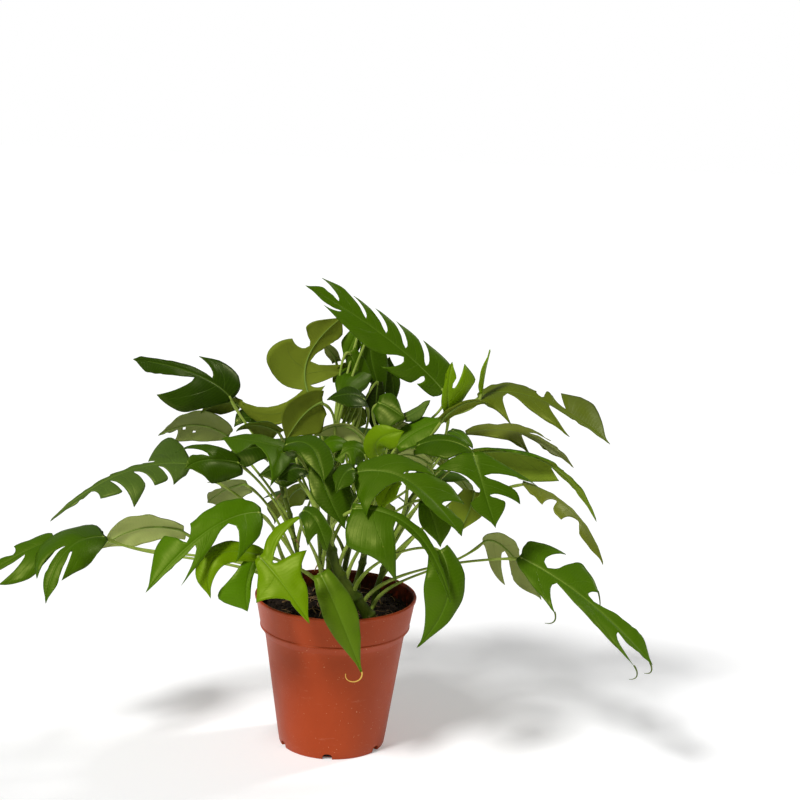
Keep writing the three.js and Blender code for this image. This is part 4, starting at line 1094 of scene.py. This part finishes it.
class Tubes:
    """Gathers tubes of changing thickness into one mesh."""

    def __init__(self):
        self.points = []
        self.faces = []
        self.skins = []

    def add(self, centres, radii, kind, flat=1.0):
        """A closed tube through the centres. flat below 1 squeezes it along its side axis."""
        skin, sides = TUBE_KINDS[kind]
        shift = len(self.points)
        count = len(centres)
        heading = (centres[1] - centres[0]).normalized()
        side = heading.orthogonal().normalized()
        for i, (centre, radius) in enumerate(zip(centres, radii)):
            ahead = centres[min(i + 1, count - 1)] - centres[max(i - 1, 0)]
            heading = ahead.normalized()
            side = (side - heading * side.dot(heading)).normalized()
            other = heading.cross(side)
            for j in range(sides):
                a = 2 * math.pi * j / sides
                out = side * math.cos(a) * flat + other * math.sin(a)
                self.points.append(centre + out * radius)
        for i in range(count - 1):
            for j in range(sides):
                a = shift + i * sides + j
                b = shift + i * sides + (j + 1) % sides
                self.faces.append((a, b, b + sides, a + sides))
        self.faces.append(tuple(shift + j for j in reversed(range(sides))))
        self.faces.append(tuple(shift + (count - 1) * sides + j for j in range(sides)))
        self.skins += [skin] * ((count - 1) * sides + 2)

    def piece(self, name, materials):
        made = new_piece(name, self.points, self.faces, materials)
        made.data.polygons.foreach_set("material_index", self.skins)
        return made


def add_stalk(tubes, leaf, stem, share):
    """A leaf's stalk, from its stem into the foot of its rib, with a sheath and a knee."""
    start = bezier(stem, share)
    point, heading, up = Rib(leaf).at(0)
    far = (start - point).length
    leave = bezier_heading(stem, share).lerp((point - start).normalized(), STALK_PULL["lean"])
    rise = start + leave * (far * STALK_PULL["rise"])
    arrive = point - heading * (far * STALK_PULL["arrive"])
    arrive.z -= far * STALK_PULL["hang"]
    end = point + heading * STALK_SINK - up * GROOVE
    steps = max(LEAST_STALK_STEPS, int(far / STALK_STEP))
    radii = []
    for i in range(steps + 1):
        t = i / steps
        sheath = SHEATH["swell"] * max(0.0, 1 - t / SHEATH["reach"]) ** SHEATH["power"]
        knee = KNEE["swell"] * bell((1 - t) * far - KNEE["from_leaf"], KNEE["width"])
        radii.append(STALK_R * (STALK_THIN + sheath + knee))
    tubes.add(curve((start, rise, arrive, end), steps), radii, "stalk")


def add_rib(tubes, leaf):
    """The rib stands proud of the blade's under face and thins out to the tip."""
    rib = Rib(leaf)
    centres = []
    radii = []
    for i in range(RIB_STEPS + 1):
        share = RIB_REACH * i / RIB_STEPS
        point, _, up = rib.at(share * rib.length)
        centres.append(point - up * (GROOVE + RIB_PROUD))
        radii.append(RIB_R["tip"] + RIB_R["more"] * (1 - share) ** RIB_R["power"])
    tubes.add(centres, radii, "rib")


def add_curl(tubes, knots):
    """The last of a lobe, dried to a thin curl."""
    radii = taper(CURL["thick"], CURL["loss"], CURL["steps"])
    tubes.add(curve(knots, CURL["steps"]), radii, "curl", CURL["flat"])


def add_stem(tubes, name):
    """A vine's stem, which leans to and fro and has a ring at each node."""
    radius, knots = VINES[name]
    path = [Vector(knot) for knot in knots]
    places = curve(path, 30)
    length = sum((b - a).length for a, b in zip(places, places[1:]))
    steps = int(length / STEM_STEP)
    centres = []
    radii = []
    for i in range(steps + 1):
        t = i / steps
        along = t * length
        near = (along % NODE_STEP) - NODE_STEP / 2
        ring = NODE_RING["swell"] * bell(near, NODE_RING["width"])
        ring += NODE_BULGE["swell"] * bell(near, NODE_BULGE["width"])
        lean = NODE_LEAN * math.sin(2 * math.pi * along / (2 * NODE_STEP))
        aside = Vector((lean, lean * NODE_LEAN_BACK, 0)) * min(1.0, along / LEAN_START)
        centres.append(bezier(path, t) + aside)
        radii.append(radius * (1 - STEM_THINS * t) * (NODE_WAIST + ring))
    radii[-1] *= STEM_END
    tubes.add(centres, radii, "stem")
    # short brown root stubs stand out under every other ring
    for i in range(1, int(length / NODE_STEP), 2):
        root = bezier(path, (i + 0.5) * NODE_STEP / length)
        out = Vector((*polar(1, chance.uniform(0, 2 * math.pi)), ROOT_SLOPE))
        reach = chance.uniform(*ROOT_REACH)
        spots = []
        for s in range(len(ROOT_RADII)):
            sag = Vector((0, 0, ROOT_SAG * s * s))
            spots.append(root + out * (reach * s / (len(ROOT_RADII) - 1)) + sag)
        tubes.add(spots, ROOT_RADII, "root")
    return path


# The plant


def build_vine(name, leaf_materials, stalk_materials):
    blades = Blades()
    tubes = Tubes()
    stem = add_stem(tubes, name)
    leaves = LEAVES[name]
    for i, leaf in enumerate(leaves):
        share = FIRST_STALK + (LAST_STALK - FIRST_STALK) * i / (len(leaves) - 1)
        blades.add(leaf)
        add_stalk(tubes, leaf, stem, share)
        add_rib(tubes, leaf)
    for knots in CURLS.get(name, []):
        add_curl(tubes, knots)
    leafage = blades.piece(f"leaves_{name}", leaf_materials)
    stalks = tubes.piece(f"stalks_{name}", stalk_materials)
    for piece, slot in ((leafage, "leaf"), (stalks, "stalk")):
        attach(piece, "root")
        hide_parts(f"vine_{name}")


def build_tendril(material):
    """A thin dry thread that curls off the tip of the longest hanging leaf."""
    radii = taper(THREAD["thick"], THREAD["loss"], THREAD["steps"])
    tubes = Tubes()
    tubes.add(curve(TENDRIL, THREAD["steps"]), radii, "tendril")
    piece = tubes.piece("tendril", [material])
    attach(piece, "root")


# The pot


def pot_profile():
    """Outline of half the pot's section, round corners and all, from the axis and back to it."""
    collar_z = POT_H - COLLAR_H
    wall_z = collar_z - COLLAR_CHAMFER
    rim = RIM_D / 2
    slope = (WALL_TOP_R - FOOT_R) / wall_z
    profile = [(0, 0), (FOOT_R - FOOT_ROUND, 0), (FOOT_R - 0.35, 0.25), (FOOT_R, 1)]
    profile += [(FOOT_R + slope * z, z) for z in range(8, int(wall_z), 8)]
    profile += [
        (WALL_TOP_R, wall_z - 0.6),
        (WALL_TOP_R + 0.4, wall_z + 0.3),
        (COLLAR_FOOT_R - 0.5, collar_z - 1),
        (COLLAR_FOOT_R, collar_z),
        (COLLAR_FOOT_R + RING_LINE, collar_z + 0.25),
        (COLLAR_FOOT_R + RING_LINE, collar_z + 1.1),
        (COLLAR_FOOT_R + 0.15, collar_z + RING_LINE_TOP),
    ]
    top_z = POT_H - 3 * LIP
    ring_z = collar_z + RING_LINE_TOP
    flare = (rim - LIP - COLLAR_FOOT_R) / (top_z - collar_z)
    for i in range(1, 6):
        z = ring_z + (top_z - ring_z) * i / 6
        profile.append((COLLAR_FOOT_R + flare * (z - collar_z), z))
    profile += [(rim - LIP, top_z), (rim - 0.25, top_z + 0.4)]
    for i in range(7):
        x, z = polar(LIP_ROUND, -math.pi / 6 + math.pi * 7 / 6 * i / 6)
        profile.append((rim - LIP_ROUND + x, POT_H - LIP_ROUND + z))
    profile += [
        (rim - LIP_ROUND - WALL, POT_H - 1.9),
        (rim - LIP - WALL, top_z),
        (COLLAR_FOOT_R - WALL, collar_z),
        (WALL_TOP_R - WALL, wall_z),
        (FOOT_R - WALL + slope * WALL, WALL),
        (0, WALL),
    ]
    return profile


def turned(profile, segments):
    """The profile turned about the upright axis, as points and faces."""
    points = []
    faces = []
    rings = []
    for r, z in profile:
        if r == 0:
            points.append((0, 0, z))
            rings.append([len(points) - 1] * segments)
            continue
        rings.append(range(len(points), len(points) + segments))
        points += [(*polar(r, 2 * math.pi * j / segments), z) for j in range(segments)]
    for low, high in zip(rings, rings[1:]):
        for j in range(segments):
            k = (j + 1) % segments
            ring = [low[j], low[k], high[k], high[j]]
            faces.append([p for i, p in enumerate(ring) if p != ring[i - 1]])
    return points, faces


def cut(piece, points, faces):
    """Cuts a solid of these points and faces out of the piece."""
    tool = new_piece("cutter", points, faces, [])
    modifier = piece.modifiers.new("cut", "BOOLEAN")
    modifier.operation = "DIFFERENCE"
    modifier.solver = "EXACT"
    modifier.object = tool
    graph = bpy.context.evaluated_depsgraph_get()
    mesh = bpy.data.meshes.new_from_object(piece.evaluated_get(graph))
    piece.modifiers.clear()
    piece.data = mesh
    bpy.data.objects.remove(tool)


def notch_solid():
    """A bar through the foot of the wall with an arched top, as points and faces."""
    outline = []
    for j in range(9):
        x, rise = polar(1, math.pi * j / 8)
        outline.append((NOTCH_W / 2 * x, NOTCH_H * (1 - NOTCH_ARCH + NOTCH_ARCH * rise)))
    outline += [(-NOTCH_W / 2, -NOTCH_BELOW), (NOTCH_W / 2, -NOTCH_BELOW)]
    count = len(outline)
    ends = (FOOT_R - NOTCH_REACH, FOOT_R + NOTCH_REACH)
    points = [(x, y, z) for x in ends for y, z in outline]
    faces = [(j, (j + 1) % count, count + (j + 1) % count, count + j) for j in range(count)]
    return points, faces + [tuple(reversed(range(count))), tuple(range(count, 2 * count))]


def build_pot(material):
    points, faces = turned(pot_profile(), POT_SEGMENTS)
    pot = new_piece("nursery_pot", points, faces, [material])
    drain = [(0, -DRAIN_CUT), (DRAIN_R, -DRAIN_CUT), (DRAIN_R, DRAIN_CUT), (0, DRAIN_CUT)]
    tube, sides = turned(drain, DRAIN_SEGMENTS)
    for i in range(DRAIN_COUNT):
        middle = Vector((*polar(DRAIN_RING_R, 2 * math.pi * i / DRAIN_COUNT), 0))
        cut(pot, [Vector(p) + middle for p in tube], sides)
    bar, sides = notch_solid()
    for i in range(NOTCH_COUNT):
        turn = Matrix.Rotation(math.radians(NOTCH_TURN + 360 * i / NOTCH_COUNT), 3, "Z")
        cut(pot, [turn @ Vector(p) for p in bar], sides)
    tidy = bmesh.new()
    tidy.from_mesh(pot.data)
    bmesh.ops.remove_doubles(tidy, verts=tidy.verts, dist=1e-6)
    bmesh.ops.recalc_face_normals(tidy, faces=tidy.faces)
    tidy.to_mesh(pot.data)
    tidy.free()
    pot.data.shade_smooth()
    pot.data.set_sharp_from_angle(angle=math.radians(SHARP_ANGLE))
    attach(pot, "root")
    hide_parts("pot")


# The soil


def soil_height(x, y):
    """The height of the soil's crust, over the plain solid."""
    r = math.hypot(x, y) / SOIL_R
    mound = SOIL_MOUND * (1 - r * r)
    place = Vector((x, y, 0))
    broad, small = (high * noise.noise(place * fine) for high, fine in LUMPS.values())
    return SOIL_Z + mound + CRUST + (broad + small)


def on_soil(x, y, lift):
    return Vector((x, y, soil_height(x, y) + lift))


def random_spot(share):
    """A place on the soil, within a share of its radius."""
    radius = SOIL_R * math.sqrt(chance.random()) * share
    return polar(radius, chance.uniform(0, 2 * math.pi))


def build_crust(material):
    points = [on_soil(0, 0, 0)]
    faces = []
    for i in range(1, CRUST_RINGS + 1):
        r = (SOIL_R + CRUST_OVERLAP) * i / CRUST_RINGS
        for j in range(CRUST_SEGMENTS):
            points.append(on_soil(*polar(r, 2 * math.pi * j / CRUST_SEGMENTS), 0))
    for j in range(CRUST_SEGMENTS):
        k = (j + 1) % CRUST_SEGMENTS
        faces.append((0, 1 + j, 1 + k))
        for i in range(CRUST_RINGS - 1):
            a = 1 + i * CRUST_SEGMENTS
            b = a + CRUST_SEGMENTS
            faces.append((a + j, b + j, b + k, a + k))
    return new_piece("soil_crust", points, faces, [material])


def build_crumbs(material):
    ball = bmesh.new()
    bmesh.ops.create_icosphere(ball, subdivisions=2, radius=1.0)
    unit = [v.co.copy() for v in ball.verts]
    sides = [[v.index for v in f.verts] for f in ball.faces]
    ball.free()
    points = []
    faces = []
    for _ in range(CRUMBS):
        x, y = random_spot(0.985)
        size = CRUMB_SIZE["least"] + CRUMB_SIZE["more"] * chance.random() ** 3
        middle = on_soil(x, y, size * CRUMB_SIZE["sink"])
        stretch = Vector([chance.uniform(*CRUMB_STRETCH) for _ in range(3)])
        angle = chance.uniform(0, 6.28)
        turn = Matrix.Rotation(angle, 3, Vector((chance.random(), 1, chance.random())))
        seed = Vector((chance.uniform(0, 50), 0, 0))
        shift = len(points)
        for v in unit:
            lump = 1 + CRUMB_SIZE["lump"] * noise.noise(v * CRUMB_SIZE["lump_scale"] + seed)
            points.append(middle + turn @ Vector(v[i] * stretch[i] * size * lump for i in range(3)))
        faces += [[shift + i for i in side] for side in sides]
    return new_piece("soil_crumbs", points, faces, [material])


def add_fibre(tubes):
    """A dry root fibre that lies over the soil in a low arch."""
    x, y = random_spot(0.9)
    way = chance.uniform(0, 2 * math.pi)
    bend = chance.uniform(-FIBRE_BEND, FIBRE_BEND)
    arch = chance.uniform(*FIBRE_ARCH)
    steps = chance.randint(*FIBRE_STEPS)
    spots = []
    for i in range(steps + 1):
        if math.hypot(x, y) > SOIL_R - 1:
            break
        spots.append(on_soil(x, y, FIBRE_LIFT + arch * math.sin(math.pi * i / steps)))
        x += FIBRE_STEP * math.cos(way)
        y += FIBRE_STEP * math.sin(way)
        way += bend * chance.uniform(0.3, 1.5)
    if len(spots) > 4:
        thick = chance.uniform(*FIBRE_R)
        tubes.add(spots, taper(thick, 0.5 * thick, len(spots)), "fibre")


def add_tuft(tubes):
    """Dry roots that stand at the foot of the thick stem."""
    root = on_soil(*TUFT, -1)
    for _ in range(TUFT_FIBRES):
        way = Vector([chance.uniform(*spread) for spread in TUFT_SPREAD])
        end = root + way * chance.uniform(*TUFT_REACH)
        aside = Vector((chance.uniform(-1, 1), chance.uniform(-1, 1), 1))
        middle = (root + end) / 2 + aside
        tubes.add(curve((root, middle, middle, end), 6), taper(0.34, 0.24, 6), "fibre")


def build_soil(material, crumb_material, fibre):
    crust = build_crust(material)
    crumbs = build_crumbs(crumb_material)
    tubes = Tubes()
    for _ in range(FIBRES):
        add_fibre(tubes)
    add_tuft(tubes)
    fibres = tubes.piece("soil_fibres", [fibre])
    for piece, slot in ((crust, "soil"), (crumbs, "soil"), (fibres, "fibre")):
        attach(piece, "root")
    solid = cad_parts["soil"].data.materials
    solid.clear()
    solid.append(material)


# Stage: floor, light and camera


def build_floor():
    n = Nodes("pale_floor")
    n.set(Base_Color=(0.9, 0.9, 0.9, 1), Roughness=0.7)
    n.set(Emission_Color=(1, 1, 1, 1), Emission_Strength=FLOOR_GLOW)
    signs = ((-1, -1), (1, -1), (1, 1), (-1, 1))
    corners = [(x * FLOOR_REACH, y * FLOOR_REACH, 0) for x, y in signs]
    new_piece("floor", corners, [(0, 1, 2, 3)], [n.material])


def light_room():
    """The room lights softly and is seen as a plain white ground."""
    world = bpy.data.worlds.new("studio")
    bpy.context.scene.world = world
    world.use_nodes = True
    tree = world.node_tree
    background = tree.nodes["Background"]
    background.inputs["Color"].default_value = (1, 1, 1, 1)
    seen = tree.nodes.new("ShaderNodeLightPath")
    strength = tree.nodes.new("ShaderNodeMapRange")
    strength.inputs["To Min"].default_value = ROOM_LIGHT
    strength.inputs["To Max"].default_value = 1.0
    tree.links.new(seen.outputs["Is Camera Ray"], strength.inputs["Value"])
    tree.links.new(strength.outputs["Result"], background.inputs["Strength"])


def add_lamp(name, place, spread, strength):
    """A broad lamp so far off that it lights the whole floor alike."""
    data = bpy.data.lights.new(name, "SUN")
    data.angle = math.radians(spread)
    data.energy = strength
    light = bpy.data.objects.new(name, data)
    light.location = place
    light.rotation_mode = "QUATERNION"
    light.rotation_quaternion = (-Vector(place)).to_track_quat("-Z", "Y")
    bpy.context.scene.collection.objects.link(light)


def add_camera():
    """A long lens a little over a metre away, looking down, with a slight roll."""
    data = bpy.data.cameras.new("camera")
    data.sensor_width = 36
    data.lens = CAMERA_LENS
    data.clip_start = 0.05
    camera = bpy.data.objects.new("camera", data)
    down = Matrix.Rotation(math.radians(90 - CAMERA_PITCH), 4, "X")
    roll = Matrix.Rotation(math.radians(CAMERA_ROLL), 4, "Z")
    camera.matrix_world = Matrix.Translation(Vector(CAMERA_PLACE) * MM) @ down @ roll
    bpy.context.scene.collection.objects.link(camera)
    bpy.context.scene.camera = camera


leaf_skins = [leaf_material("upper"), leaf_material("under")]
tube_skins = [stalk_material(name, *look) for name, look in STALK_LOOKS.items()]
for vine in VINES:
    build_vine(vine, leaf_skins, tube_skins)
build_tendril(fibre_material("dry_tendril", *DRY_TENDRIL))
build_pot(pot_material())
build_soil(
    soil_material("peat", *PEAT, 0.9),
    soil_material("peat_crumb", *CRUMB_PEAT, 0.7),
    fibre_material("dry_fibre", *DRY_FIBRE),
)

build_floor()
light_room()
for lamp, settings in LAMPS.items():
    add_lamp(lamp, *settings)
add_camera()
bpy.context.scene.view_settings.view_transform = "Standard"
